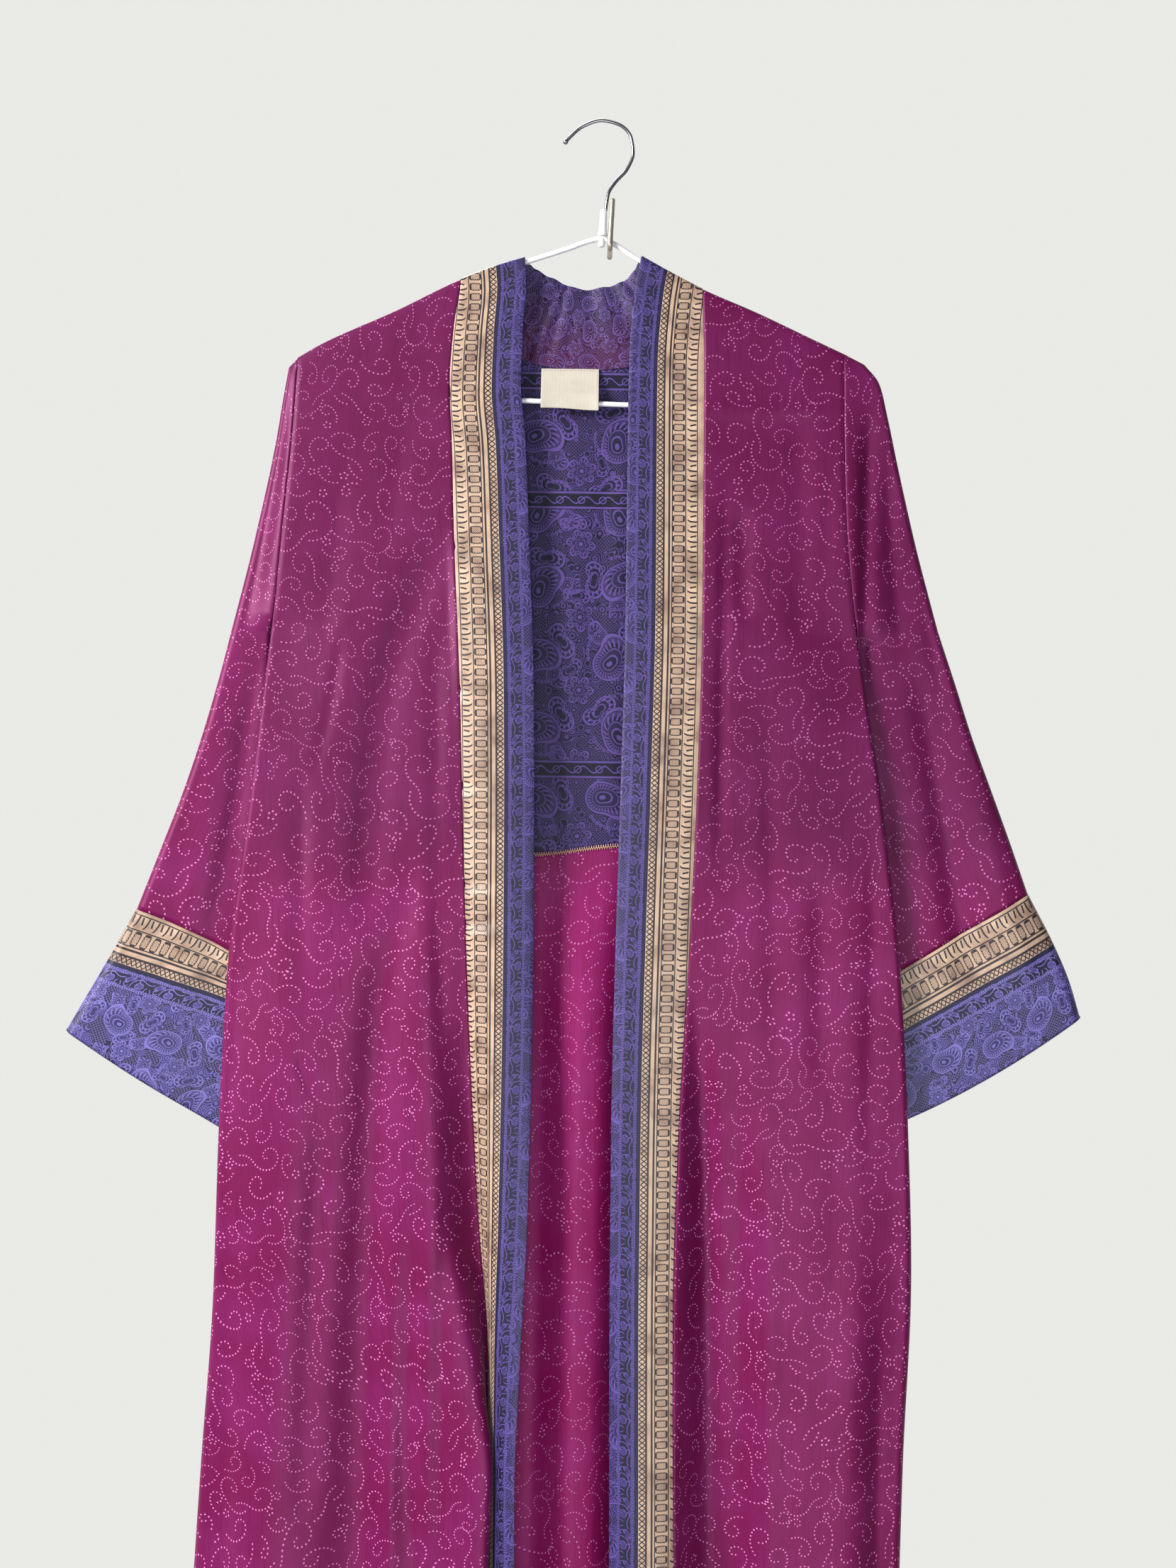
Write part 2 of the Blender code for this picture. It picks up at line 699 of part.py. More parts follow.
def back_row(row, z_low=None):
    """Points of one row of the back, with its folds."""
    x, z, (left_x, left_depth), (right_x, right_depth) = back_columns(row)
    if z_low is not None:
        z = z_low(x)
    depth = hang("back", x, z)
    for half, arc_x, arc_depth in (("left", left_x, left_depth), ("right", right_x, right_depth)):
        hold = follow(z, BACK_HOLD["z"], BACK_HOLD[half])
        away = np.abs(x - arc_x[-1])
        depth += (arc_depth[-1] - depth) * (1.0 - ease((away - hold) / BACK_BLEND))
    inside = np.minimum(np.abs(x - left_x[-1]), np.abs(x - right_x[-1])) - BACK_TROUGH_FROM_SIDE
    depth -= fold_relief(BACK_FOLDS, x, z) * ease(inside / BACK_TROUGH_EASE)
    depth[:FOLD_CELLS + 1] = left_depth
    depth[-FOLD_CELLS - 1:] = right_depth[::-1]
    return np.stack([x, depth, z], axis=-1)


def back_grid(part):
    """Middle surface of the upper or the lower back."""
    waist = waist_row()
    if part == "upper":
        rows = [back_row(row) for row in range(waist)]
        rows.append(back_row(waist, lambda x: waist_z(x) + 0.5 * SEAM_GAP))
        return np.stack(rows)
    rows = [back_row(waist, lambda x: waist_z(x) - 0.5 * SEAM_GAP)]
    rows += [back_row(row) for row in range(waist + 1, len(side_levels("left")))]
    return np.stack(rows)


def waist_z(x):
    """Height of the waist seam."""
    return follow(x, WAIST["x"], WAIST["z"])


def band_grid(half):
    """Middle surface of a front band: rows crest to hem, columns seam to free edge."""
    lines = [band_point(half, line, band_levels(half, line)) for line in ("seam", "middle", "free")]
    cells = 2 * BAND_CELLS
    grid = np.zeros((len(lines[0]), cells + 1, 3))
    for column in range(cells + 1):
        t = column / cells
        # Parabola through the three lines
        grid[:, column] = ((1.0 - t) * (1.0 - 2.0 * t) * lines[0] + 4.0 * t * (1.0 - t) * lines[1]
                           + t * (2.0 * t - 1.0) * lines[2])
    over_crest = np.arange(len(lines[0])) < CREST_ROWS
    grid[over_crest, :, 1] += 0.5 * (BAND_WALL - PANEL_WALL)
    return grid


def neck_grid():
    """Middle surface of the neck band: rows round the neck, columns seam to free edge."""
    seam = neck_points(0.0)
    free = np.stack([NECK_FREE[name] for name in ("x", "depth", "z")], axis=-1)
    across = np.linspace(0.0, 1.0, 2 * BAND_CELLS + 1)
    grid = seam[:, None, :] * (1.0 - across)[None, :, None] + free[:, None, :] * across[None, :, None]
    for end, way in ((0, 1), (len(seam) - 1, -1)):
        for step, drop in enumerate(HANG["drop"][:CREST_ROWS]):
            row = end + way * step
            grid[row, :, 2] = crest(grid[row, :, 0]) - drop
            grid[row, :, 1] = HANG["back"][step] - 0.5 * (BAND_WALL - PANEL_WALL)
    return grid


def tube_row(half, section, folds, inner, start, is_open):
    """One section of a sleeve tube, from the front's inner end round to the back's.

    inner is the inner end's x and z, and start is the tube's middle depth and half
    thickness there. A closed section turns round at both ends, an open one at its outer.
    """
    outer = np.array([section["outer_x"], section["outer_z"]])
    length = float(np.hypot(*(outer - inner)))
    angle = np.linspace(0.0, math.pi / 2.0, FOLD_CELLS + 1)
    longest = FOLD_SHARE * length
    turn_in = min(start[1], longest) * (1.0 - np.cos(angle))
    turn_out = length - min(section["half"], longest) * (1.0 - np.cos(angle))[::-1]
    run = np.linspace(turn_in[-1], turn_out[0], SLEEVE_CELLS + 1)[1:-1]
    along = np.concatenate([turn_in, run, turn_out])
    rise = np.ones(len(along))
    rise[-FOLD_CELLS - 1:] = np.sin(angle)[::-1]
    if not is_open:
        rise[:FOLD_CELLS + 1] = np.sin(angle)
    t = along / length
    x = inner[0] + (outer[0] - inner[0]) * t
    z = inner[1] + (outer[1] - inner[1]) * t + section.get("sag", 0.0) * 4.0 * t * (1.0 - t)
    settle = ease(t / SETTLE_SHARE)
    middle = start[0] + (section["middle"] - start[0]) * settle
    lift = (start[1] + (section["half"] - start[1]) * settle) * rise
    front = middle + lift - fold_relief(folds, x, z) * rise * ease((1.0 - t) / SMOOTH_SHARE)
    back = middle - lift
    front_half = np.stack([x, front, z], axis=-1)
    back_half = np.stack([x, back, z], axis=-1)
    return np.concatenate([front_half, back_half[::-1][1:]])


def table_rows(columns):
    """Each row of a table as a dictionary."""
    count = len(next(iter(columns.values())))
    return [{name: float(values[row]) for name, values in columns.items()} for row in range(count)]


def shoulder_arch(half, columns):
    """The sleeve's first row: over the crest at the armhole's top, front to back."""
    angle = np.linspace(math.pi / 2.0, -math.pi / 2.0, columns)
    depth = HANGER_DEPTH + ARCH_RADIUS * np.sin(angle)
    drop = (tip_z(half) - UNDERARMS[half]) * ARMHOLE_SHARES[CREST_ROWS - 1]
    z = tip_z(half) - drop * (1.0 - np.cos(angle))
    x = side_x(half, z) - sign_of(half) * ARMHOLE_GAP
    return np.stack([x, depth, z], axis=-1)


def sleeve_grid(half):
    """Middle surface of a sleeve, shoulder to cuff seam."""
    outward = -sign_of(half)
    folds = SLEEVE_FOLDS[half]
    rows = []
    levels = side_levels(half)[CREST_ROWS:]
    for section, z in zip(table_rows(SLEEVE_HEADS[half]), levels):
        front, back = armhole_depth(half, "front", z), armhole_depth(half, "back", z)
        near = ease((UNDERARMS[half] + UNDERARM_BLEND - z) / UNDERARM_BLEND)
        away = ARMHOLE_GAP + UNDERARM_INSET * near
        inner = np.array([side_x(half, z) + outward * away, z])
        start = (0.5 * (front + back), 0.5 * (front - back))
        rows.append(tube_row(half, section, folds, inner, start, True))
    rows += tube_rows(half, SLEEVE_TUBES)
    return np.stack([shoulder_arch(half, len(rows[0]))] + rows)


def tube_rows(half, tables):
    """Closed sections of a sleeve or a cuff."""
    rows = []
    for section in table_rows(tables[half]):
        inner = np.array([section["inner_x"], section["inner_z"]])
        start = (section["middle"], section["half"])
        rows.append(tube_row(half, section, SLEEVE_FOLDS[half], inner, start, False))
    return rows


def cuff_grid(half):
    """Middle surface of a cuff, its seam to its hem."""
    return np.stack(tube_rows(half, CUFFS))


def label_grid():
    """Woven label: hangs from the neck seam and lies on the hanger's bar."""
    x = np.linspace(*LABEL_CORNERS, LABEL_CELLS + 1)
    grid = np.zeros((len(LABEL_HANG["drop"]), len(x), 3))
    grid[..., 0] = x[None, :]
    grid[..., 1] = LABEL_HANG["depth"][:, None]
    grid[..., 2] = LABEL_TOP - LABEL_HANG["drop"][:, None]
    return grid


def arm_line(half):
    """Points of one arm of the hanger, apex to its end, then round its end to the bar."""
    inward = sign_of(half)
    end_x = ARM_ENDS[half]
    x = np.linspace(APEX[0], end_x, ARM_POINTS)
    z = crest(x) - WIRE_BELOW_CREST
    z[0] = APEX[1]
    slope = math.atan2(z[-1] - z[-2], abs(x[-1] - x[-2]))
    drop = z[-1] - BAR_HEIGHTS[half]
    radius = drop / (1.0 + math.cos(slope))
    centre = (end_x - inward * radius * math.sin(slope), z[-1] - radius * math.cos(slope))
    start = math.pi / 2.0 + slope
    turn = np.linspace(start, -math.pi / 2.0, ARM_END_POINTS)[1:]
    arc_x = centre[0] - inward * radius * np.cos(turn)
    arc_z = centre[1] + radius * np.sin(turn)
    return np.concatenate([x, arc_x]), np.concatenate([z, arc_z])


def hanger_frame_points():
    """Closed loop of the hanger's wire: left arm, bar, right arm."""
    left_x, left_z = arm_line("left")
    right_x, right_z = arm_line("right")
    x = np.concatenate([left_x[1:], right_x[:0:-1]])
    z = np.concatenate([left_z[1:], right_z[:0:-1]])
    apex_x = APEX[0] + APEX_HALF_WIDTH * np.array([1.0, 0.0, -1.0])
    apex_z = APEX[1] - np.array(APEX_DROPS)
    x = np.concatenate([x, apex_x])
    z = np.concatenate([z, apex_z])
    return [(px, HANGER_DEPTH, pz) for px, pz in zip(x, z)]


def hook_points():
    """The hanger's steel hook, from its ball end to its neck, and the wire's radius there."""
    ball_end = np.linspace(0.0, BALL_SHARE, BALL_POINTS)
    wire = np.linspace(BALL_SHARE, 1.0, HOOK_POINTS)[1:]
    share = np.concatenate([ball_end, wire])
    x = follow(share, HOOK_PATH["share"], HOOK_PATH["x"])
    z = follow(share, HOOK_PATH["share"], HOOK_PATH["z"])
    swell = np.ones(len(share))
    swell[:len(BALL_PROFILE)] = np.array(BALL_PROFILE) * HOOK_BALL_RADIUS / HOOK_RADIUS
    return [(px, HANGER_DEPTH, pz) for px, pz in zip(x, z)], swell


def wall_hook_points():
    """L-shaped wall hook: level shank out of the wall, a bend, and an upright leg."""
    leg_depth = HANGER_DEPTH + WIRE_RADIUS + SEAM_GAP + WALL_HOOK_RADIUS
    turn = np.linspace(0.0, math.pi / 2.0, 6)
    bend_depth = leg_depth - WALL_HOOK_BEND + WALL_HOOK_BEND * np.sin(turn)
    bend_z = WALL_HOOK_BEND * (1.0 - np.cos(turn))
    points = [(0.0, 0.0, 0.0)]
    points += [(0.0, depth, z) for depth, z in zip(bend_depth, bend_z)]
    points.append((WALL_HOOK_LEAN, leg_depth, WALL_HOOK_TOP))
    return points


def clear_scene():
    """Remove the objects that the file opened with."""
    for item in list(bpy.data.objects):
        bpy.data.objects.remove(item, do_unlink=True)


def make_material(name, finish, metallic=0.0):
    """Principled material of one sub-part."""
    colour, roughness = COLOURS[finish]
    material = bpy.data.materials.new(name + "_finish")
    material.use_nodes = True
    shader = material.node_tree.nodes["Principled BSDF"]
    shader.inputs["Base Color"].default_value = (*colour, 1.0)
    shader.inputs["Roughness"].default_value = roughness
    shader.inputs["Metallic"].default_value = metallic
    return material


def to_world(points):
    """Turn x, depth and height in millimetres into metres in the scene."""
    points = np.asarray(points, float)
    return np.stack([points[..., 0], -points[..., 1], points[..., 2]], axis=-1) * MM


def make_sheet(collection, name, grid, wall, finish):
    """Cloth wall: a grid mesh moved onto the middle surface, then given its thickness."""
    rows, columns = grid.shape[0] - 1, grid.shape[1] - 1
    world = to_world(grid)
    builder = bmesh.new()
    bmesh.ops.create_grid(builder, x_segments=columns, y_segments=rows, size=0.5)
    for vertex in builder.verts:
        column = round((vertex.co.x + 0.5) * columns)
        row = round((vertex.co.y + 0.5) * rows)
        vertex.co = world[row, column]
    bmesh.ops.remove_doubles(builder, verts=builder.verts, dist=WELD_DISTANCE)
    mesh = bpy.data.meshes.new(name)
    builder.to_mesh(mesh)
    builder.free()
    mesh.materials.append(make_material(name, finish))
    mesh.shade_smooth()
    item = bpy.data.objects.new(name, mesh)
    collection.objects.link(item)
    thickness = item.modifiers.new("wall", "SOLIDIFY")
    thickness.thickness = wall * MM
    thickness.offset = 0.0
    return item


def make_wire(collection, name, points, radius, finish, metallic=0.0, cyclic=False, swell=None):
    """Round wire along a path, as a bevelled curve with filled ends."""
    curve = bpy.data.curves.new(name, "CURVE")
    curve.dimensions = "3D"
    curve.bevel_depth = radius * MM
    curve.bevel_resolution = WIRE_SMOOTHNESS
    curve.use_fill_caps = True
    spline = curve.splines.new("POLY")
    spline.points.add(len(points) - 1)
    world = to_world(points)
    for index, point in enumerate(spline.points):
        point.co = (*world[index], 1.0)
        point.radius = 1.0 if swell is None else swell[index]
    spline.use_cyclic_u = cyclic
    curve.materials.append(make_material(name, finish, metallic))
    item = bpy.data.objects.new(name, curve)
    collection.objects.link(item)
    return item


def make_neck(collection):
    """Sleeve that joins the hook to the hanger's wire, rounded at both ends."""
    bottom = APEX[1] + WIRE_RADIUS + SEAM_GAP
    height = NECK_TOP - bottom
    bpy.ops.mesh.primitive_cylinder_add(
        vertices=NECK_SIDES, radius=NECK_RADIUS * MM, depth=height * MM)
    item = bpy.context.object
    item.name = "hanger_neck"
    item.data.name = "hanger_neck"
    item.rotation_euler = (0.0, NECK_LEAN, 0.0)
    item.location = to_world((NECK_MIDDLE, HANGER_DEPTH, bottom + 0.5 * height))
    item.data.materials.append(make_material("hanger_neck", "white"))
    item.data.shade_smooth()
    item.data.set_sharp_from_angle(angle=SHARP_EDGE)
    for owner in list(item.users_collection):
        owner.objects.unlink(item)
    collection.objects.link(item)
    return item


def build():
    """Make every sub-part of the robe and its hanger."""
    clear_scene()
    robe = bpy.data.collections.new("silk_robe")
    bpy.context.scene.collection.children.link(robe)
    for half in ("left", "right"):
        make_sheet(robe, "front_" + half, front_grid(half), PANEL_WALL, "magenta")
        make_sheet(robe, "band_" + half, band_grid(half), BAND_WALL, "gold")
        make_sheet(robe, "sleeve_" + half, sleeve_grid(half), PANEL_WALL, "magenta")
        make_sheet(robe, "cuff_" + half, cuff_grid(half), PANEL_WALL, "violet")
    make_sheet(robe, "back_upper", back_grid("upper"), PANEL_WALL, "violet")
    make_sheet(robe, "back_lower", back_grid("lower"), PANEL_WALL, "magenta")
    make_sheet(robe, "neck_band", neck_grid(), BAND_WALL, "violet")
    make_sheet(robe, "label", label_grid(), LABEL_WALL, "cream")
    make_wire(robe, "hanger_frame", hanger_frame_points(), WIRE_RADIUS, "white", cyclic=True)
    points, swell = hook_points()
    make_wire(robe, "hanger_hook", points, HOOK_RADIUS, "steel", metallic=1.0, swell=swell)
    make_neck(robe)
    make_wire(robe, "wall_hook", wall_hook_points(), WALL_HOOK_RADIUS, "nickel", metallic=1.0)


build()
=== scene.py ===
"""Dressed scene of a long open silk robe on a white wire hanger and an L-shaped wall hook.

Tables and sizes of the robe are millimetres, as a cutter would write them: X runs to the
right as one looks at the wall, Z runs up, and a depth is the distance in front of the wall,
so that Y is minus the depth. They are turned into metres when a mesh is made. Left and
right are as one looks at the robe.
"""

from __future__ import annotations

import logging
import math
from dataclasses import dataclass
from enum import Enum
from functools import partialmethod, reduce
from operator import and_, or_

import bmesh
import bpy
import numpy as np
from mathutils import Matrix


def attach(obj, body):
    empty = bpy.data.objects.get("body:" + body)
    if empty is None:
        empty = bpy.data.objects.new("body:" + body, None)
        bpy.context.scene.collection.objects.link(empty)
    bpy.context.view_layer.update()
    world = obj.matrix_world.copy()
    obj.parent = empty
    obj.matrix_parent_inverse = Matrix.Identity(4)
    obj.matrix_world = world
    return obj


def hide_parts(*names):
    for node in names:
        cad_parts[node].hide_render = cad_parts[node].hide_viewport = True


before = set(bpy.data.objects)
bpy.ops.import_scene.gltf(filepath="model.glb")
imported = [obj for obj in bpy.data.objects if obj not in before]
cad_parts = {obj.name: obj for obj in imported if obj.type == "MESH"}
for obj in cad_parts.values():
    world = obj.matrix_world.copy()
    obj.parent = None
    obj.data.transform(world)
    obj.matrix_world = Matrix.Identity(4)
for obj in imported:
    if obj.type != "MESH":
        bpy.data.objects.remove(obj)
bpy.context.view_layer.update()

LOG = logging.getLogger("silk_robe")
MM = 0.001
TURN = 2 * math.pi

Array = np.ndarray
Table = dict[str, Array]
Piece = bpy.types.Object
Material = bpy.types.Material
Triple = tuple[float, float, float]


class Half(Enum):
    """The two halves of the robe, as one looks at it."""

    LEFT = "left"
    RIGHT = "right"

    @property
    def inward(self) -> float:
        """Plus one where inward means to the right."""
        return 1 if self is Half.LEFT else -1


class Layer(Enum):
    """The two layers of cloth that hang from each arm of the hanger."""

    FRONT = "front"
    BACK = "back"

    @property
    def way(self) -> float:
        """Plus one for the layer nearer the viewer."""
        return 1 if self is Layer.FRONT else -1


def table(columns: str, *rows: tuple[float, ...]) -> Table:
    """Named columns of numbers, each as an array.

    Args:
        columns: Their names. The first column is the place by which the others are read.
        rows: One row of numbers for each station.

    Returns:
        The columns by name.
    """
    return dict(zip(columns.split(), np.array(rows, float).T))


@dataclass(frozen=True)
class Cut:
    """A sheet of the robe: its solid, slot, carrier, flat width, length and area in metres."""

    node: str
    slot: str
    carrier: str
    width: float
    length: float
    area: float | None = None
    wall: float = 0.7
    doubled: bool = False


CUTS = {
    "front_panel_left": Cut("front_left", "magenta_silk", "hanger_frame", 0.25, 1.19, 0.236),
    "front_panel_right": Cut("front_right", "magenta_silk", "hanger_frame", 0.2, 1.18, 0.194),
    "upper_back": Cut("back_upper", "violet_silk", "hanger_frame", 0.524, 0.462, 0.19),
    "lower_back": Cut("back_lower", "magenta_silk", "upper_back", 0.587, 0.75, 0.412),
    "gold_band_left": Cut("band_left", "brocade", "front_panel_left", 0.058, 1.202, None, 1.3, True),
    "gold_band_right": Cut("band_right", "brocade", "front_panel_right", 0.058, 1.202, None, 1.3, True),
    "neck_collar": Cut("neck_band", "violet_silk", "hanger_frame", 0.206, 0.07, 0.0118, 1.1, True),
    "silk_sleeve_left": Cut("sleeve_left", "magenta_silk", "front_panel_left", 0.26, 0.495, 0.046),
    "silk_sleeve_right": Cut("sleeve_right", "magenta_silk", "front_panel_right", 0.327, 0.509, 0.076),
    "wide_cuff_left": Cut("cuff_left", "brocade", "silk_sleeve_left", 0.41, 0.136, 0.039, 1.1),
    "wide_cuff_right": Cut("cuff_right", "brocade", "silk_sleeve_right", 0.424, 0.11, 0.038, 1.1),
    "woven_label": Cut("label", "label_tape", "hanger_frame", 0.0457, 0.034, None, 0.5, True),
}

HEM = -1208
WAIST_LEVEL = -480
HANGER_DEPTH = 22

# Ends of the hanger's two arms, height of its bar, and where the cloth starts to lie over it
ARM_ENDS = {Half.LEFT: -208, Half.RIGHT: 193}
BAR_HEIGHTS = {Half.LEFT: -116, Half.RIGHT: -126.8}
BAR_ENDS = {Half.LEFT: -200, Half.RIGHT: 186}

# The line over each arm of the hanger on which front and back meet
CREST = {
    Half.LEFT: table("x z",
        (-246, -89.5), (-226, -77.6), (-167.4, -50.4), (-118.4, -25.9), (-89.4, -14.2), (-69.9, -8.2),
        (-6.8, 12.7)),
    Half.RIGHT: table("x z",
        (-6.8, 12.7), (25.3, -5.3), (40.5, -13.5), (70.4, -29.3), (116, -48.5), (163.4, -70.3),
        (186, -80.6), (200, -87.5)),
}

# Depth of the front and of the back at each drop below that line, folded over the wire
HANG = table("drop front back",
    (0, 22.36, 21.64), (0.5, 23.7, 20.3), (1.2, 24.6, 19.4), (2.6, 25.2, 18.8), (5, 25.5, 18.5),
    (50, 25.6, 16.8), (95, 25.8, 15.2), (200, 28.5, 13.4), (330, 33, 12.8), (460, 37, 12.5),
    (735, 43, 12.5), (1010, 49, 13), (1300, 53, 13))

# Side edges: the armhole seam above the underarm, a folded side seam below it
SIDES = {
    Half.LEFT: table("z x",
        (-89.5, -245), (-104, -246), (-153, -249), (-221, -255), (-288, -261), (-355, -268.5),
        (-423, -276), (-490, -284), (-557, -292), (-692, -298), (-826, -301), (-961, -309),
        (-1208, -322)),
    Half.RIGHT: table("z x",
        (-80.6, 186), (-148, 187), (-215, 189.5), (-282, 196), (-349, 206), (-416, 217), (-483, 226),
        (-550, 234), (-685, 243), (-819, 247.5), (-953, 243), (-1208, 239)),
}
UNDERARMS = {Half.LEFT: -302, Half.RIGHT: -306}

# Depths at the armhole seam, by the share of its height
ARMHOLE = table("share front back",
    (0, 22.36, 21.64), (0.0024, 23.7, 20.3), (0.006, 24.6, 19.4), (0.024, 25.5, 18.5),
    (0.2, 26.2, 17.4), (0.5, 27.6, 15.6), (0.75, 28, 15.6), (0.9, 26.6, 18), (1, 25.6, 22.4))

# The folded side seam under the arm: depth of its middle, and its radius
SIDE_FOLD = table("z middle radius",
    (-302, 24, 1.6), (-345, 25.2, 2.5), (-400, 27, 3.8), (-700, 29, 5), (-900, 27, 6.5),
    (-1208, 27, 8))

# How far from the side the back stays forward, to leave room for a sleeve behind it
BACK_HOLD = table("z left right",
    (-302, 5, 5), (-345, 12, 13), (-423, 20, 24), (-557, 42, 42), (-700, 60, 52), (-770, 50, 45),
    (-900, 12, 12), (-1208, 6, 6))

# Front bands: seam with the panel, middle line and free edge
BANDS = {
    Half.LEFT: table("z seam middle free",
        (-8, -117.3, -92, -67), (-28, -117.3, -93, -65.5), (-62, -122, -96, -67.5),
        (-107, -124.8, -97, -68.5), (-152, -122.5, -95, -64.5), (-219, -120, -89.5, -61),
        (-353, -113, -87, -55), (-487, -108, -83, -53), (-622, -102, -78, -52.5),
        (-756, -94, -78, -54), (-890, -84, -76, -59), (-961, -86, -74.5, -61), (-1042, -88, -74, -60),
        (-1208, -90, -73, -58)),
    Half.RIGHT: table("z seam middle free",
        (-5, 73.5, 50, 25), (-31, 73.5, 48.5, 20.5), (-83, 75.5, 45, 16.5), (-149, 76, 43, 16),
        (-284, 76.5, 42, 16), (-418, 74, 39, 14), (-552, 69, 34.5, 11.5), (-687, 62.5, 31, 10),
        (-822, 59.5, 31, 10.5), (-956, 61, 33, 12), (-1208, 68, 39, 15)),
}

# How far each of those three lines stands in front of the hang of the cloth
BAND_LIFTS = {
    Half.LEFT: table("z seam middle free",
        (-8, 0, 0, 0), (-120, 0.6, 1.2, 1), (-353, -1, 2, 1), (-555, -7, 3, 1), (-622, -12, 3, 3),
        (-756, -22, 2, 8), (-890, -25, 2.5, 10), (-1042, -25, 3, 13), (-1208, -25, 4, 12)),
    Half.RIGHT: table("z seam middle free",
        (-5, 0, 0, 0), (-120, 0.6, 1.2, 1), (-353, 1, 2, 0), (-622, 2, 4, -1), (-890, 4, 7, 0),
        (-1208, 5, 9, 1)),
}

# The left front rolls over its band near the hem: share of the full roll
BAND_ROLL = table("z share", (-780, 0), (-890, 0.5), (-961, 1), (-1208, 1))

# Soft troughs: a path of three points, then width and depth at its top and its foot
FOLD_COLUMNS = "x_top z_top x_mid z_mid x_low z_low width_top width_low depth_top depth_low"
FRONT_FOLDS = {
    Half.LEFT: table(FOLD_COLUMNS,
        (-124, -205, -176, -374, -188, -560, 15, 16, 3.6, 5.6),
        (-102, -220, -150, -374, -162, -560, 26, 28, 3.2, 4.6),
        (-140, -455, -172, -605, -188, -1300, 14, 32, 8, 16),
        (-143, -720, -146, -900, -104, -1300, 9, 15, 5, 9),
        (-252, -500, -254, -900, -258, -1300, 30, 34, -6, -13)),
    Half.RIGHT: table(FOLD_COLUMNS,
        (76, -560, 85, -800, 92, -1300, 9, 25, 9, 27),
        (150, -110, 153, -230, 154, -330, 11, 11, 1.5, 1.5),
        (173, -480, 174, -570, 176, -670, 12, 12, 3, 3),
        (108, -200, 107, -250, 110, -300, 9, 9, 2.5, 2.5),
        (200, -760, 200, -950, 198, -1300, 16, 26, -3, -7)),
}

# Finer creases of the same kind, which only the cloth itself shows
FRONT_CREASES = {
    Half.LEFT: table(FOLD_COLUMNS,
        (-256, -520, -252, -760, -256, -1250, 14, 20, 2.6, 4),
        (-208, -150, -214, -240, -226, -380, 9, 12, 0.8, 0.6),
        (-160, -132, -166, -190, -178, -262, 7, 9, 0.5, 0.4),
        (-238, -400, -236, -500, -232, -640, 7, 9, 2.6, 1.9),
        (-133, -270, -131, -430, -121, -680, 7, 8, 1.4, 2.4),
        (-212, -640, -221, -800, -228, -1060, 9, 13, 3.2, 3.8),
        (-236, -632, -230, -652, -222, -672, 3.2, 3, 2.6, 1.9),
        (-122, -700, -121, -860, -120, -1180, 6, 7, 2.6, 3.5),
        (-284, -700, -287, -900, -292, -1250, 6, 8, 1.9, 2.6),
        (-158, -860, -160, -990, -157, -1250, 5, 7, -2.6, -3.5),
        (-206, -300, -214, -360, -230, -430, 4, 5, 1.3, 0.8)),
    Half.RIGHT: table(FOLD_COLUMNS,
        (186, -560, 188, -800, 184, -1250, 12, 18, 1.4, 2.4),
        (94, -150, 93, -300, 92, -520, 5, 6, 1.6, 2.6),
        (128, -330, 133, -470, 139, -700, 8, 10, 1.6, 1.6),
        (214, -430, 213, -560, 210, -760, 6, 8, 1.3, 1.1),
        (190, -120, 176, -200, 168, -300, 6, 7, 0.8, 0.6),
        (146, -700, 148, -880, 152, -1250, 8, 12, 1.3, 2.3),
        (222, -820, 221, -960, 219, -1250, 5, 7, 1.9, 2.9),
        (102, -590, 112, -850, 118, -1300, 14, 18, 8, 15)),
}
BACK_FOLDS = table(FOLD_COLUMNS,
    (26, -440, 26, -800, 24, -1300, 16, 18, 5, 9),
    (-16, -440, -16, -800, -18, -1300, 24, 25, -10, -16),
    (-110, -500, -120, -850, -128, -1300, 22, 34, -4, -12),
    (-200, -620, -205, -900, -212, -1300, 18, 30, -3, -10),
    (86, -500, 96, -850, 104, -1300, 20, 34, -2, -4),
    (160, -640, 165, -900, 170, -1300, 18, 28, -3, -9))
BACK_CREASES = table(FOLD_COLUMNS,
    (-40, -120, -44, -190, -52, -300, 6, 7, 0.9, 0.7), (2, -130, -2, -230, -12, -360, 6, 8, 1.1, 0.8),
    (-24, -210, -24, -330, -28, -470, 7, 8, -0.9, -1.1),
    (-46, -500, -46, -700, -48, -1200, 5, 7, 1.4, 2.2),
    (-8, -500, -10, -760, -12, -1250, 4, 5, 1, 1.6),
    (-160, -180, -168, -300, -180, -440, 11, 13, 1.6, 1.6),
    (70, -160, 84, -300, 96, -450, 11, 13, 1.6, 1.6),
    (-90, -150, -96, -280, -104, -430, 9, 11, 1.2, 1.2),
    (150, -190, 152, -300, 156, -450, 9, 11, 1.2, 1.2),
    (-70, -520, -78, -780, -88, -1250, 8, 12, 2, 3.2),
    (-158, -560, -164, -800, -172, -1250, 9, 14, 2, 3.6),
    (48, -520, 56, -800, 62, -1250, 8, 12, 2, 3.2), (128, -560, 134, -800, 140, -1250, 9, 13, 2, 3.4),
    (-246, -900, -250, -1000, -256, -1250, 9, 12, 1.2, 2.4))

# Waist seam across the back
WAIST = table("x z", (-290, -487), (-150, -483), (-52, -478.5), (11, -470.9), (120, -466), (240, -463))

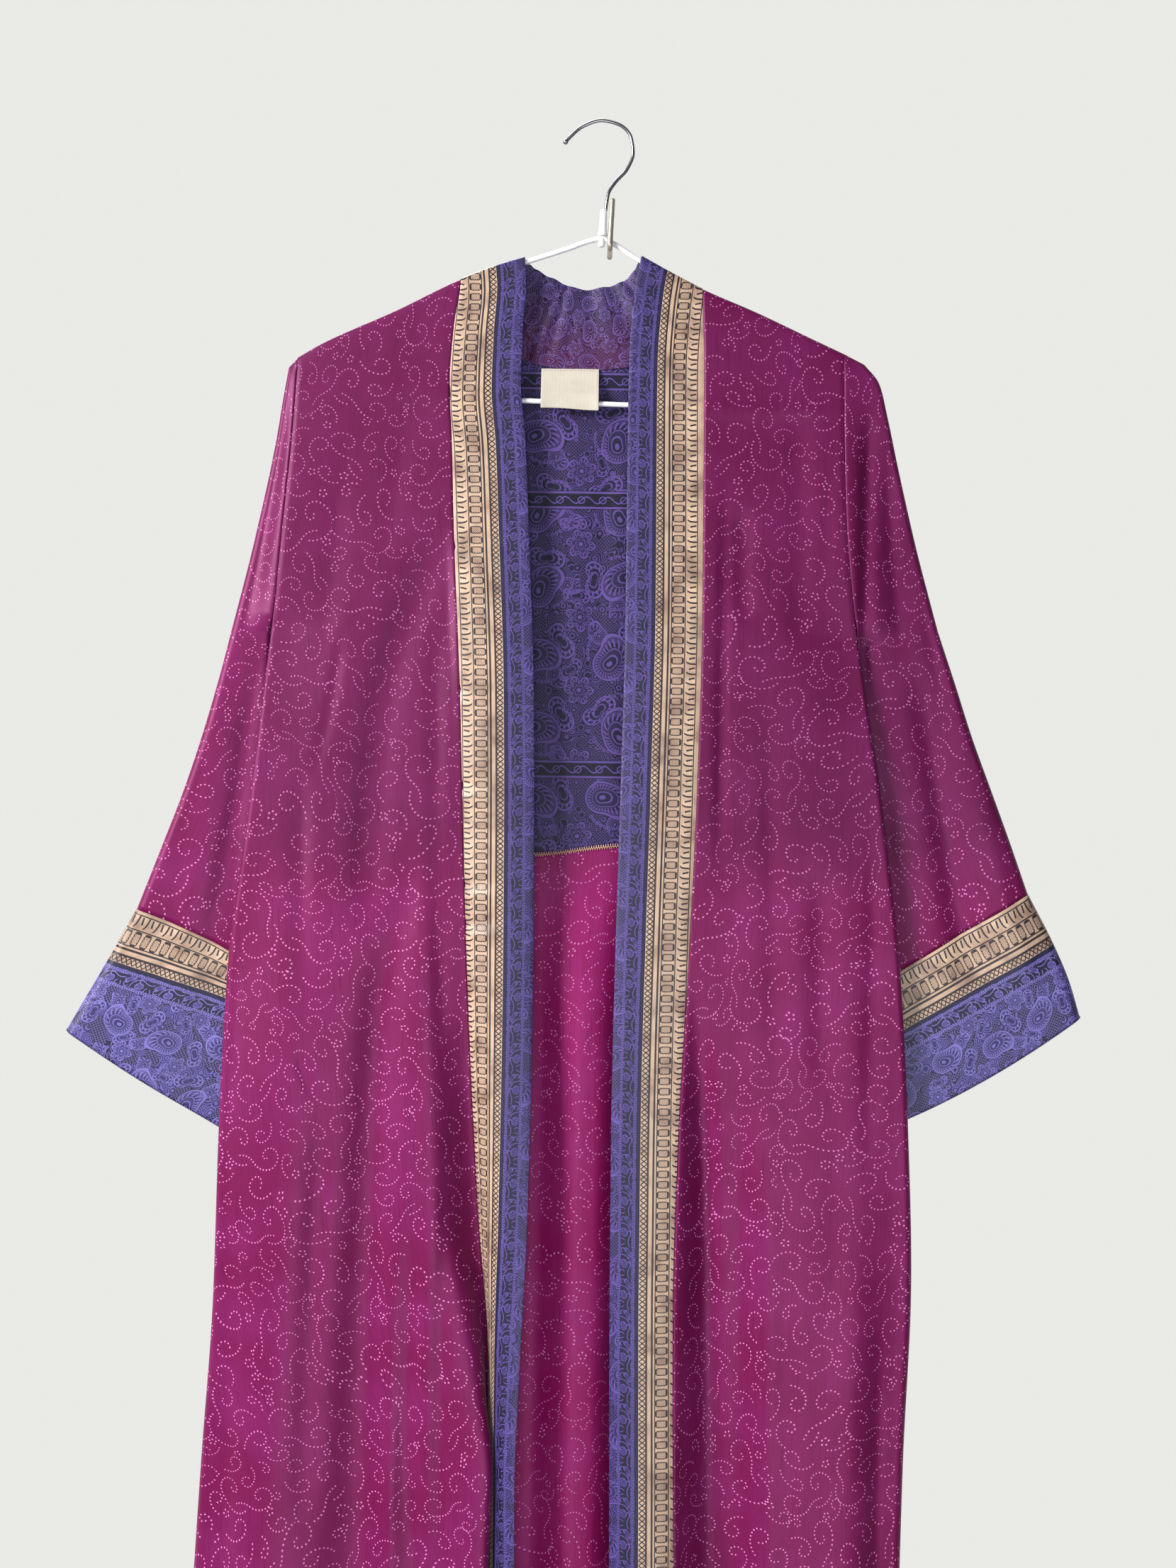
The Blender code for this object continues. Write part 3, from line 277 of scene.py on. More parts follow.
# Seam between the back and the neck band, and the band's free edge
NECK_SEAM = table("share x z",
    (0, -117.3, -25.5), (0.01, -116.7, -26.8), (0.03, -115.4, -31), (0.12, -109, -48),
    (0.25, -90, -73), (0.38, -58, -90), (0.5, -20, -94.5), (0.62, 16, -91.5), (0.75, 47, -77),
    (0.88, 65.5, -53), (0.97, 71.6, -36.2), (0.99, 72.9, -32.1), (1, 73.5, -30.8))
NECK_FREE = table("share x depth z",
    (0, -67, 21.64, -7.3), (0.01, -66.4, 19.4, -8.4), (0.03, -65, 18.2, -11.6), (0.12, -60, 16, -13.5),
    (0.25, -49.5, 13, -19), (0.38, -36, 11, -25.2), (0.5, -19, 10.5, -28.8), (0.62, -2, 10.8, -27.2),
    (0.75, 10.5, 12.5, -22.5), (0.88, 20, 16, -14.5), (0.97, 23.5, 18.2, -10.5),
    (0.99, 24.5, 19.4, -6.3), (1, 25, 21.64, -5.2))

# Sleeve sections beside the armhole, by the share of its height: the outer fold's place,
# the depth of the tube's middle, and half of its thickness
HEAD_COLUMNS = "share outer_x outer_z middle half"
SLEEVE_HEADS = {
    Half.LEFT: table(HEAD_COLUMNS,
        (0.07, -252, -97, 22, 3.2), (0.17, -256.5, -122, 20.5, 3.3), (0.3, -261.2, -150, 18.3, 3.4),
        (0.45, -267.5, -182, 16.3, 3.7), (0.6, -274.5, -214, 15, 4.1), (0.75, -281.8, -246, 13.8, 4.5),
        (0.89, -288.5, -273, 13, 4.8)),
    Half.RIGHT: table(HEAD_COLUMNS,
        (0.07, 202, -88.8, 22, 3.5), (0.17, 213.6, -103, 22, 3.5), (0.3, 221, -130, 21, 3.6),
        (0.45, 229, -164, 18.5, 4), (0.6, 237.5, -199, 16.5, 4.4), (0.75, 247, -236, 14.5, 4.8),
        (0.89, 256, -268, 13.2, 5)),
}

# Sleeve sections from the underarm to the cuff, and the cuff's. Sag bends a section.
SECTION_COLUMNS = "place outer_x outer_z inner_x inner_z sag middle half"
SLEEVE_TUBES = {
    Half.LEFT: table(SECTION_COLUMNS,
        (0, -295, -299, -264.6, -305, 0, 12.6, 5), (1, -305, -339, -265.5, -350, 0, 12, 5.6),
        (2, -317.5, -384, -266, -404, 2, 12, 6), (3, -332.5, -431, -265, -462, 4, 12, 6.2),
        (4, -350.5, -479, -262, -522, 5, 11.8, 6.4), (5, -368.6, -526.3, -257, -583, 5, 11.6, 6.6)),
    Half.RIGHT: table(SECTION_COLUMNS,
        (0, 264.5, -298, 199.4, -309, 0, 12.6, 5.2), (1, 279, -340, 201, -358, 0, 12, 5.6),
        (2, 292.6, -381, 203, -412, 0, 12, 6), (3, 308, -422, 204.5, -468, 0, 12, 6.2),
        (4, 323.8, -464, 205, -527, 0, 11.8, 6.4), (5, 338.6, -505.2, 204.5, -588, 0, 11.6, 6.6)),
}
CUFFS = {
    Half.LEFT: table(SECTION_COLUMNS,
        (0, -368.7, -526.5, -257, -583.2, 5, 11.6, 6.7),
        (1, -390.5, -566.2, -254.5, -612, 1, 11.5, 6.8), (2, -407, -595, -251, -671, -2, 11.5, 7.2),
        (3, -423, -623.2, -247, -729, -3.5, 11.5, 7.6)),
    Half.RIGHT: table(SECTION_COLUMNS,
        (0, 338.7, -505.4, 204.5, -588.2, 0, 11.6, 6.7), (1, 359.4, -544.4, 203.5, -636, 0, 11.5, 6.8),
        (2, 372.4, -574, 202.5, -669.5, -3, 11.5, 7.2), (3, 381.2, -602.6, 201, -702, -9, 11.5, 7.6)),
}
SLEEVE_FOLDS = {
    Half.LEFT: table(FOLD_COLUMNS,
        (-270, -290, -290, -480, -320, -880, 24, 52, 5, 9),
        (-300, -330, -310, -450, -322, -560, 14, 18, -1.5, -3),
        (-272, -300, -286, -400, -300, -560, 6, 8, 1.4, 2),
        (-290, -420, -304, -500, -318, -640, 6, 8, 1, 1.4),
        (-330, -470, -344, -540, -362, -640, 7, 9, 1, 1.4)),
    Half.RIGHT: table(FOLD_COLUMNS,
        (207, -110, 205, -222, 206, -372, 6, 6, 3, 3.5),
        (246, -310, 274, -465, 296, -590, 11, 12, 3, 6),
        (300, -400, 318, -490, 340, -600, 16, 18, -2, -4),
        (222, -150, 226, -230, 236, -330, 5, 6, 1, 1.2),
        (226, -400, 240, -490, 252, -640, 7, 9, 1.4, 1.8),
        (252, -250, 262, -320, 280, -420, 6, 7, 1, 1.2)),
}

# Label: its two upper corners, and the depth at each drop below them
LABEL_CORNERS = (-53, -7.3)
LABEL_TOP = -93.6
LABEL_HANG = table("drop depth", (0, 17), (8, 18.6), (16, 22), (22, 25), (28, 25.7), (33, 25.8))

# Steel hook: its path from the ball end to the neck
HOOK_PATH = table("share x z",
    (0, -37.5, 83), (0.06, -32.5, 88.5), (0.17, -22.5, 97), (0.28, -8.1, 101.8), (0.39, 6.5, 98.6),
    (0.5, 15.6, 88.6), (0.6, 17.4, 76.5), (0.71, 13, 64), (0.83, 3.2, 52.5), (0.9, -1.6, 44.5),
    (1, -3.8, 30.4))


def follow(at: Array | float, stations: Array, values: Array) -> Array:
    """Smooth curve through given values that never overshoots them.

    Cubic Hermite pieces whose slope at each station is the harmonic mean of its two chords,
    or nothing where they turn.

    Args:
        at: Where to read the curve.
        stations: Places of the values, in any order.
        values: Values at the stations.

    Returns:
        The curve's values, in the shape of at.
    """
    order = np.argsort(stations)
    s, v = stations[order], values[order]
    step = np.diff(s)
    slope = np.diff(v) / step
    tangent = np.zeros_like(v)
    tangent[0], tangent[-1] = slope[0], slope[-1]
    same = slope[1:] * slope[:-1] > 0
    weight_a = 2 * step[1:] + step[:-1]
    weight_b = step[1:] + 2 * step[:-1]
    inner = tangent[1:-1]
    inner[same] = (weight_a + weight_b)[same] / (
        weight_a[same] / slope[:-1][same] + weight_b[same] / slope[1:][same])
    at = np.clip(np.asarray(at, float), s[0], s[-1])
    cell = np.clip(np.searchsorted(s, at, side="right") - 1, 0, len(step) - 1)
    t = (at - s[cell]) / step[cell]
    h = step[cell]
    return ((1 + 2 * t) * (1 - t) ** 2 * v[cell] + t * (1 - t) ** 2 * h * tangent[cell]
            + t * t * (3 - 2 * t) * v[cell + 1] - t * t * (1 - t) * h * tangent[cell + 1])


def read(columns: Table, at: Array | float, name: str) -> Array:
    """One column of a table at given places of its first column, as a smooth curve."""
    return follow(at, next(iter(columns.values())), columns[name])


def points(*numbers: Array | float) -> Array:
    """Points from their numbers: place across, depth and height, or the two of flat cloth."""
    return np.stack(np.broadcast_arrays(*numbers), axis=-1)


def unit(vectors: Array) -> Array:
    """Vectors at a length of one."""
    return vectors / np.linalg.norm(vectors, axis=-1, keepdims=True)


def ease(value: Array | float) -> Array:
    """Zero at 0, one at 1, level at both: three squares less two cubes."""
    t = np.clip(value, 0, 1)
    return t * t * (3 - 2 * t)


def bell(value: Array | float) -> Array:
    """One at 0 and falling away on both sides: e to minus the square."""
    return np.exp(-np.square(value))


def crest(x: Array) -> Array:
    """Height of the line over the arms: the left curve up to the hanger's apex, then the right."""
    left, right = (read(CREST[half], x, "z") for half in Half)
    return np.where(np.asarray(x) < CREST[Half.LEFT]["x"][-1], left, right)


def hang(layer: Layer, x: Array, z: Array) -> Array:
    """Depth at which a layer hangs, by its drop below the crest."""
    return read(HANG, crest(x) - z, layer.value)


def side_x(half: Half, z: Array) -> Array:
    """The panels' side edge at each height."""
    return read(SIDES[half], z, "x")


def armhole_depth(half: Half, layer: Layer, z: Array) -> Array:
    """Depth of the armhole seam, by the share of the way from shoulder tip to underarm."""
    tip = SIDES[half]["z"][0]
    return read(ARMHOLE, (tip - z) / (tip - UNDERARMS[half]), layer.value)


def fold_relief(folds: Table, x: Array, z: Array, swell_share: float = 0.22) -> Array:
    """Sum of soft troughs.

    Each trough is its depth times a bell of the distance across its path over its width,
    times an ease that swells it in from its top and out at its foot.

    Args:
        folds: One row for each trough.
        x: Places across the cloth.
        z: Heights.
        swell_share: Share of a trough's length over which it swells in.

    Returns:
        How far the cloth lies back at each point.
    """
    total = np.zeros(np.broadcast(x, z).shape)
    for x_top, z_top, x_mid, z_mid, x_low, z_low, *sizes in zip(*folds.values()):
        share = np.clip((z_top - z) / (z_top - z_low), 0, 1)
        width = sizes[0] + (sizes[1] - sizes[0]) * share
        depth = sizes[2] + (sizes[3] - sizes[2]) * share
        reach = swell_share * (z_top - z_low)
        swell = ease((z_top - z) / reach) * ease((z - z_low) / reach)
        path = follow(z, np.array([z_top, z_mid, z_low]), np.array([x_top, x_mid, x_low]))
        total += depth * swell * bell((x - path) / width)
    return total


def run_length(path: Array, axis: int) -> Array:
    """Distance covered along one axis of a grid, from its first point: the sum of its steps.

    Args:
        path: Points of a line or a grid.
        axis: Axis to go along.

    Returns:
        The distance at each point.
    """
    steps = np.linalg.norm(np.diff(path, axis=axis), axis=-1)
    start = np.zeros_like(np.take(steps, [0], axis=axis))
    return np.concatenate([start, np.cumsum(steps, axis=axis)], axis=axis)


def off_column(grid: Array, column: int) -> Array:
    """Distance along each row of a grid from one of its columns, negative before it."""
    length = run_length(grid, 1)
    return length - length[:, column, None]


def to_world(spots: Array) -> Array:
    """Turn x, depth and height in millimetres into metres in the scene."""
    return spots * np.array([MM, -MM, MM])


def grid_sample(grid: Array, row: Array, column: Array) -> Array:
    """Points between a grid's own: the mean of the four round each, weighed by nearness.

    Args:
        grid: Points by row and column.
        row: Place of each point, counted in rows.
        column: Place of each point, counted in columns.

    Returns:
        The points.
    """
    row = np.clip(row, 0, grid.shape[0] - 1.001)
    column = np.clip(column, 0, grid.shape[1] - 1.001)
    r, c = row.astype(int), column.astype(int)
    fr, fc = (row - r)[..., None], (column - c)[..., None]
    return ((grid[r, c] * (1 - fc) + grid[r, c + 1] * fc) * (1 - fr)
            + (grid[r + 1, c] * (1 - fc) + grid[r + 1, c + 1] * fc) * fr)


def make_object(name: str, verts: Array, faces: list, material: Material,
                uv: Array | None = None) -> Piece:
    """Mesh object at the origin from arrays of points and faces.

    Args:
        name: Name of the piece.
        verts: Points in metres, one row each.
        faces: Point numbers of each face.
        material: Its finish.
        uv: Place on the cloth of each point, in metres, or None.

    Returns:
        The object, shaded smooth.
    """
    mesh = bpy.data.meshes.new(name)
    mesh.from_pydata(verts, [], faces)
    if uv is not None:
        corner = np.zeros(len(mesh.loops), np.int32)
        mesh.loops.foreach_get("vertex_index", corner)
        layer = mesh.uv_layers.new(name="cloth")
        layer.data.foreach_set("uv", uv[corner].astype(np.float32).ravel())
    mesh.materials.append(material)
    mesh.shade_smooth()
    return link(bpy.data.objects.new(name, mesh))


def link(item: Piece) -> Piece:
    """Put an object into the scene."""
    bpy.context.scene.collection.objects.link(item)
    return item


def settle(piece: Piece, slot: str, *nodes: str) -> Piece:
    """Let a piece ride on the robe's one body and stand for its solids.

    Args:
        piece: The finished object.
        slot: The record's material slot; not used.
        nodes: Solids that it stands for.

    Returns:
        The same object.
    """
    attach(piece, "root")
    if nodes:
        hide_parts(*nodes)
    LOG.info("%s: %d points", piece.name, len(piece.data.vertices))
    return piece


def make_cloth(name: str, grid: Array, uv: Array, material: Material, closed: bool = False) -> Piece:
    """Cloth: a grid of points as a surface, with a wall laid half on each side of it.

    It is settled on the robe's body. The folded edges of a doubled strip
    are rounded.

    Args:
        name: Name of the piece and of its cut.
        grid: Points by row and column, in millimetres.
        uv: Place on the flat cloth by row and column, in millimetres.
        material: Its finish.
        closed: Whether some of its edges meet and are joined.

    Returns:
        The object, its wall a live modifier.
    """
    cut = CUTS[name]
    index = np.arange(grid.shape[0] * grid.shape[1]).reshape(grid.shape[:2])
    faces = np.stack([index[:-1, :-1], index[1:, :-1], index[1:, 1:], index[:-1, 1:]], axis=-1)
    item = make_object(name, to_world(grid).reshape(-1, 3), faces.reshape(-1, 4).tolist(), material,
                       uv.reshape(-1, 2) * MM)
    if closed:
        builder = bmesh.new()
        builder.from_mesh(item.data)
        bmesh.ops.remove_doubles(builder, verts=builder.verts, dist=0.00002)
        builder.to_mesh(item.data)
        builder.free()
    solid = item.modifiers.new("wall", "SOLIDIFY")
    solid.thickness = cut.wall * MM
    solid.offset = 0
    if cut.doubled:
        bevel = item.modifiers.new("folded_edge", "BEVEL")
        bevel.width = 0.35 * MM
        bevel.segments = 2
        bevel.limit_method = "ANGLE"
        bevel.angle_limit = math.radians(50)
    settle(item, cut.slot, cut.node)
    return item


def tube_arrays(paths: Array, radius: Array, sides: int, reference: Triple,
                closed: bool = False) -> tuple[Array, list]:
    """Points and faces of many round tubes at once.

    A ring's point is the path's point plus the radius times the cosine and the sine of its
    angle along two directions square to the path.

    Args:
        paths: Points by tube and place, in millimetres with depth as their second number.
        radius: Radius by tube and place.
        sides: Points of a ring.
        reference: A direction that no path runs along.
        closed: Whether each path is a loop. Otherwise its ends are capped.

    Returns:
        The points in metres, and the faces.
    """
    world = to_world(paths)
    count, places = world.shape[:2]
    if closed:
        ahead = np.roll(world, -1, axis=1) - np.roll(world, 1, axis=1)
    else:
        ahead = np.gradient(world, axis=1)
    ahead = unit(ahead)
    side = unit(np.cross(ahead, np.array(reference)))
    up = np.cross(side, ahead)
    angle = np.linspace(0, TURN, sides, endpoint=False)[:, None]
    ring = side[:, :, None] * np.cos(angle) + up[:, :, None] * np.sin(angle)
    verts = world[:, :, None] + ring * radius[:, :, None, None] * MM
    index = np.arange(count * places * sides).reshape(count, places, sides)
    after = np.roll(index, -1, axis=1) if closed else index[:, 1:]
    before = index if closed else index[:, :-1]
    turned, turned_after = np.roll(before, -1, axis=2), np.roll(after, -1, axis=2)
    faces = np.stack([before, after, turned_after, turned], axis=-1).reshape(-1, 4).tolist()
    if not closed:
        faces += index[:, 0].tolist() + index[:, -1, ::-1].tolist()
    return verts.reshape(-1, 3), faces


def make_tube(name: str, path: Array, radius: Array | float, material: Material, sides: int = 20,
              closed: bool = False, reference: Triple = (0, 1, 0)) -> Piece:
    """Round wire along a path, with one radius or a radius at each of its points.

    Args:
        name: Name of the piece.
        path: Points in millimetres.
        radius: The wire's radius.
        material: Its finish.
        sides: Points of a ring.
        closed: Whether the path is a loop.
        reference: A direction that the path never runs along.

    Returns:
        The object.
    """
    radii = np.broadcast_to(radius, (1, len(path)))
    verts, faces = tube_arrays(path[None], radii, sides, reference, closed)
    return make_object(name, verts, faces, material)


def sew(name: str, paths: Array, radius: float, material: Material, slot: str) -> Piece:
    """Many short stitches as one settled mesh, each a thread that thins at its ends.

    Args:
        name: Name of the piece.
        paths: Points by stitch and place, in millimetres.
        radius: The thread's radius.
        material: Its finish.
        slot: The record's material slot.

    Returns:
        The object.
    """
    thin = np.sin(np.linspace(0.12, 0.88, paths.shape[1]) * math.pi) ** 0.5
    radii = np.broadcast_to(radius * thin, paths.shape[:2])
    verts, faces = tube_arrays(paths, radii, 5, (0.31, 0.9, 0.2))
    return settle(make_object(name, verts, faces, material), slot)


@dataclass(frozen=True)
class Ink:
    """A colour as it is seen on a screen, from 0 to 255."""

    red: float
    green: float
    blue: float

    @property
    def linear(self) -> tuple[float, float, float, float]:
        """The colour's amounts of light: each share to the power 2.2, with full opacity."""
        return (*((value / 255) ** 2.2 for value in (self.red, self.green, self.blue)), 1)


@dataclass(frozen=True)
class Arc:
    """A stretch of a circle in a print: its middle, radius, start and sweep in radians."""

    x: float
    y: float
    radius: float
    start: float
    sweep: float


@dataclass(frozen=True)
class Vine:
    """A scroll drawn as a pen would: a start, a heading, and turns of a radius and an angle.

    Each turn is an arc that goes on in the pen's direction, to the left where its angle is
    positive. Lengths are millimetres and angles degrees.
    """

    x: float
    y: float
    heading: float
    turns: tuple[tuple[float, float], ...]

    def arcs(self) -> list[Arc]:
        """The arcs that the pen draws, one for each turn.

        Returns:
            The arcs in their order.
        """
        drawn = []
        x, y, heading = self.x, self.y, math.radians(self.heading)
        for radius, degrees in self.turns:
            sweep = math.radians(degrees)
            hand = math.copysign(1, sweep)
            centre_x = x - hand * radius * math.sin(heading)
            centre_y = y + hand * radius * math.cos(heading)
            start = math.atan2(y - centre_y, x - centre_x)
            drawn.append(Arc(centre_x, centre_y, radius, min(start, start + sweep), abs(sweep)))
            x = centre_x + radius * math.cos(start + sweep)
            y = centre_y + radius * math.sin(start + sweep)
            heading += sweep
        return drawn


class Shape(Enum):
    """Outlines of a motif: the share of its size that its tips take, and steps of its lines."""

    PAISLEY = (0.48, ((0, 0.9), (0.13, 0), (0.3, 0.95), (0.36, 0.1), (0.52, 0.8), (0.57, 0),
                      (0.72, 0.3), (0.9, 1), (1, 0)))
    FLOWER = (0.42, ((0, 1), (0.16, 0), (0.3, 0.85), (0.37, 0.15), (0.6, 0.7), (0.66, 0.1),
                     (0.88, 1), (1, 0)))
    LEAF = (0.68, ((0, 0), (0.34, 0.75), (0.44, 0), (0.62, 0.75), (0.72, 0), (0.88, 1), (1, 0)))


@dataclass(frozen=True)
class Motif:
    """A motif of the violet print: middle, size, turn in degrees, curl, and beads round it."""

    shape: Shape
    x: float
    y: float
    size: float
    turn: float
    curl: float = 0
    beads: float = 18


class Yarn:
    """A number or vector that one node hands to others, and the sums that are made of it."""

    def __init__(self, loom: Loom, socket: bpy.types.NodeSocket) -> None:
        """Take up a node's output."""
        self.loom, self.socket = loom, socket

    def math(self, operation: str, *others: float | Yarn) -> Yarn:
        """A sum or function of this number and others."""
        return self.loom.out("Math", (self, *others), operation=operation)

    __add__ = partialmethod(math, "ADD")
    __sub__ = partialmethod(math, "SUBTRACT")
    __mul__ = partialmethod(math, "MULTIPLY")
    __truediv__ = partialmethod(math, "DIVIDE")
    __pow__ = partialmethod(math, "POWER")
    __abs__ = partialmethod(math, "ABSOLUTE")
    __gt__ = partialmethod(math, "GREATER_THAN")
    __lt__ = partialmethod(math, "LESS_THAN")
    __or__ = partialmethod(math, "MAXIMUM")
    __and__ = partialmethod(math, "MINIMUM")
    affine = partialmethod(math, "MULTIPLY_ADD")
    sine = partialmethod(math, "SINE")
    cosine = partialmethod(math, "COSINE")
    wrap = partialmethod(math, "WRAP")

    def vector(self, operation: str, *others: tuple | Yarn) -> Yarn:
        """A sum or function of this vector and others."""
        which = "Value" if operation in ("LENGTH", "DOT_PRODUCT") else "Vector"
        return self.loom.out("VectorMath", (self, *others), which, operation=operation)

    def stretch(self, x: float, y: float) -> Yarn:
        """This place with its two numbers multiplied."""
        return self.vector("MULTIPLY", (x, y, 0))

    @property
    def parts(self) -> list[Yarn]:
        """The three numbers of a vector."""
        return [Yarn(self.loom, socket) for socket in self.loom.node("SeparateXYZ", (self,)).outputs]

    def smooth(self, low: float, high: float) -> Yarn:
        """Zero at low, one at high, with a soft step between."""
        inputs = {"Value": self, "From Min": low, "From Max": high}
        return self.loom.out("MapRange", inputs, interpolation_type="SMOOTHSTEP")

    def line(self, at: float, width: float) -> Yarn:
        """One along the line where it is at a place, zero past half the line's width."""
        return abs(self - at) < 0.5 * width

    def between(self, low: float, high: float) -> Yarn:
        """One where it lies between two numbers."""
        return self.line(0.5 * (low + high), high - low)

    def noise(self, scale: float, detail: float = 2, which: str = "Fac") -> Yarn:
        """Soft noise about a half, read at this place."""
        return self.loom.out("TexNoise", {"Vector": self, "Scale": scale, "Detail": detail}, which)

    def ramp(self, stops: tuple[tuple[float, float], ...]) -> Yarn:
        """Grey steps: each stop's value holds until the next stop.

        Args:
            stops: Place and value of each step.

        Returns:
            The step's value.
        """
        made = self.loom.node("ValToRGB", (self,))
        made.color_ramp.interpolation = "CONSTANT"
        elements = made.color_ramp.elements
        while len(elements) < len(stops):
            elements.new(1)
        for element, (place, grey) in zip(elements, stops):
            element.position = place
            element.color = (grey, grey, grey, 1)
        return Yarn(self.loom, made.outputs[0])

    def scatter(self, cell: float, shift: float) -> Yarn:
        """Place in a square cell, turned by a random angle and mirrored at random.

        Args:
            cell: The cell's side.
            shift: How far the cells are moved, as a share of their side.

        Returns:
            The place from the cell's middle.
        """
        counted = self.vector("MULTIPLY_ADD", (1 / cell,) * 3, (shift, shift, 0))
        whole = counted.vector("FLOOR")
        inside = counted.vector("SUBTRACT", whole).vector("SUBTRACT", (0.5, 0.5, 0))
        chance = self.loom.node("TexWhiteNoise", {"Vector": whole.vector("ADD", (shift, 7, 3))})
        angle, side = (Yarn(self.loom, chance.outputs[name]) for name in ("Value", "Color"))
        turned = self.loom.out("VectorRotate", {"Vector": inside, "Angle": angle * TURN},
                               rotation_type="Z_AXIS")
        hand = (side.parts[0] > 0.5).affine(2 * cell, -cell)
        return turned.vector("MULTIPLY", self.loom.out("CombineXYZ", (hand, cell)))

    def polar(self, x: float, y: float, tile: tuple[float, float] | None = None) -> tuple[Yarn, Yarn]:
        """Distance and angle in radians from a place, which may repeat with a tile.

        Args:
            x: The place's first number.
            y: Its second number.
            tile: The repeat's two lengths, or None.

        Returns:
            The distance and the angle.
        """
        away = self.vector("SUBTRACT", (x, y, 0))
        if tile:
            half = (0.5 * tile[0], 0.5 * tile[1], 1)
            away = away.vector("WRAP", half, tuple(-value for value in half))
        across, along, _ = away.parts
        return away.vector("LENGTH"), along.math("ARCTAN2", across)

    def dotted(self, vines: tuple[Vine, ...], pitch: float) -> Yarn:
        """Square of the distance, in pitches, to the nearest dot of a row round every arc.

        The angle counted in steps, less its nearest whole step on the arc, is the distance
        along, and the radius counted in the same steps, less the arc's, is the distance across.

        Args:
            vines: The scrolls that the rows follow.
            pitch: Distance between dots.

        Returns:
            The squared distance.
        """
        rows = []
        for arc in (arc for vine in vines for arc in vine.arcs()):
            count = max(2, round(arc.radius * arc.sweep / pitch) + 1)
            step = arc.sweep / (count - 1)
            reach, turn = self.polar(arc.x, arc.y)
            low = arc.start - math.pi + 0.5 * arc.sweep
            place = turn.wrap(low + TURN, low).affine(1 / step, -arc.start / step)
            along = place - ((place.math("ROUND") | 0) & (count - 1))
            across = reach.affine(1 / (arc.radius * step), -1 / step)
            rows.append(across.affine(across, along * along))
        return reduce(and_, rows)

    def stroke(self, arc: Arc, tile: tuple[float, float]) -> Yarn:
        """Distance to a line drawn round an arc: across it, or past its nearer end.

        Args:
            arc: The arc.
            tile: The repeat's two lengths.

        Returns:
            The distance in millimetres.
        """
        reach, turn = self.polar(arc.x, arc.y, tile)
        middle = arc.start + 0.5 * arc.sweep
        past = abs(turn.wrap(middle + math.pi, middle - math.pi) - middle) - 0.5 * arc.sweep
        return ((past | 0) * arc.radius) | abs(reach - arc.radius)

    def motif(self, motif: Motif, tile: tuple[float, float] | None = None) -> tuple[Yarn, Yarn]:
        """One motif of the violet print.

        Its outline is a radius for each angle: a round end and a tip for a paisley, a ring
        of petals for a flower, and two tips for a leaf. Its angle shifts with the distance,
        which bends the tip. Lines follow the share of that radius.

        Args:
            motif: The motif.
            tile: The print's repeat, or None.

        Returns:
            The light ink, and one inside the outline.
        """
        reach, turn = self.polar(motif.x, motif.y, tile)
        turn = reach.affine(motif.curl / motif.size, turn) - math.radians(motif.turn)
        if motif.shape is Shape.PAISLEY:
            tip = (turn.cosine() | 0) ** 3
        elif motif.shape is Shape.FLOWER:
            tip = abs((turn * 3).cosine())
        else:
            tip = abs(turn.cosine()) ** 2
        share, stops = motif.shape.value
        level = reach / tip.affine(share * motif.size, (1 - share) * motif.size)
        beads = ((turn * motif.beads).sine() > 0.35) * level.between(0.6, 0.84)
        return (level & 1).ramp(stops) | beads, level < 1.04

    def weave(self, strength: float, coarse: float = 1) -> Yarn:
        """Bump of a fine weave with slubs along both yarns, at this place on the cloth.

        Args:
            strength: How strongly it shows.
            coarse: How much coarser than one yarn for each third of a millimetre.

        Returns:
            The bumped normal.
        """
        long, short = 2.6 / coarse, (0.16 / coarse, 0.14 / coarse)
        height = self.stretch(long, short[0]).noise(1) + self.stretch(short[1], long).noise(1)
        return self.loom.out("Bump", {"Height": height, "Strength": strength, "Distance": 0.0004})


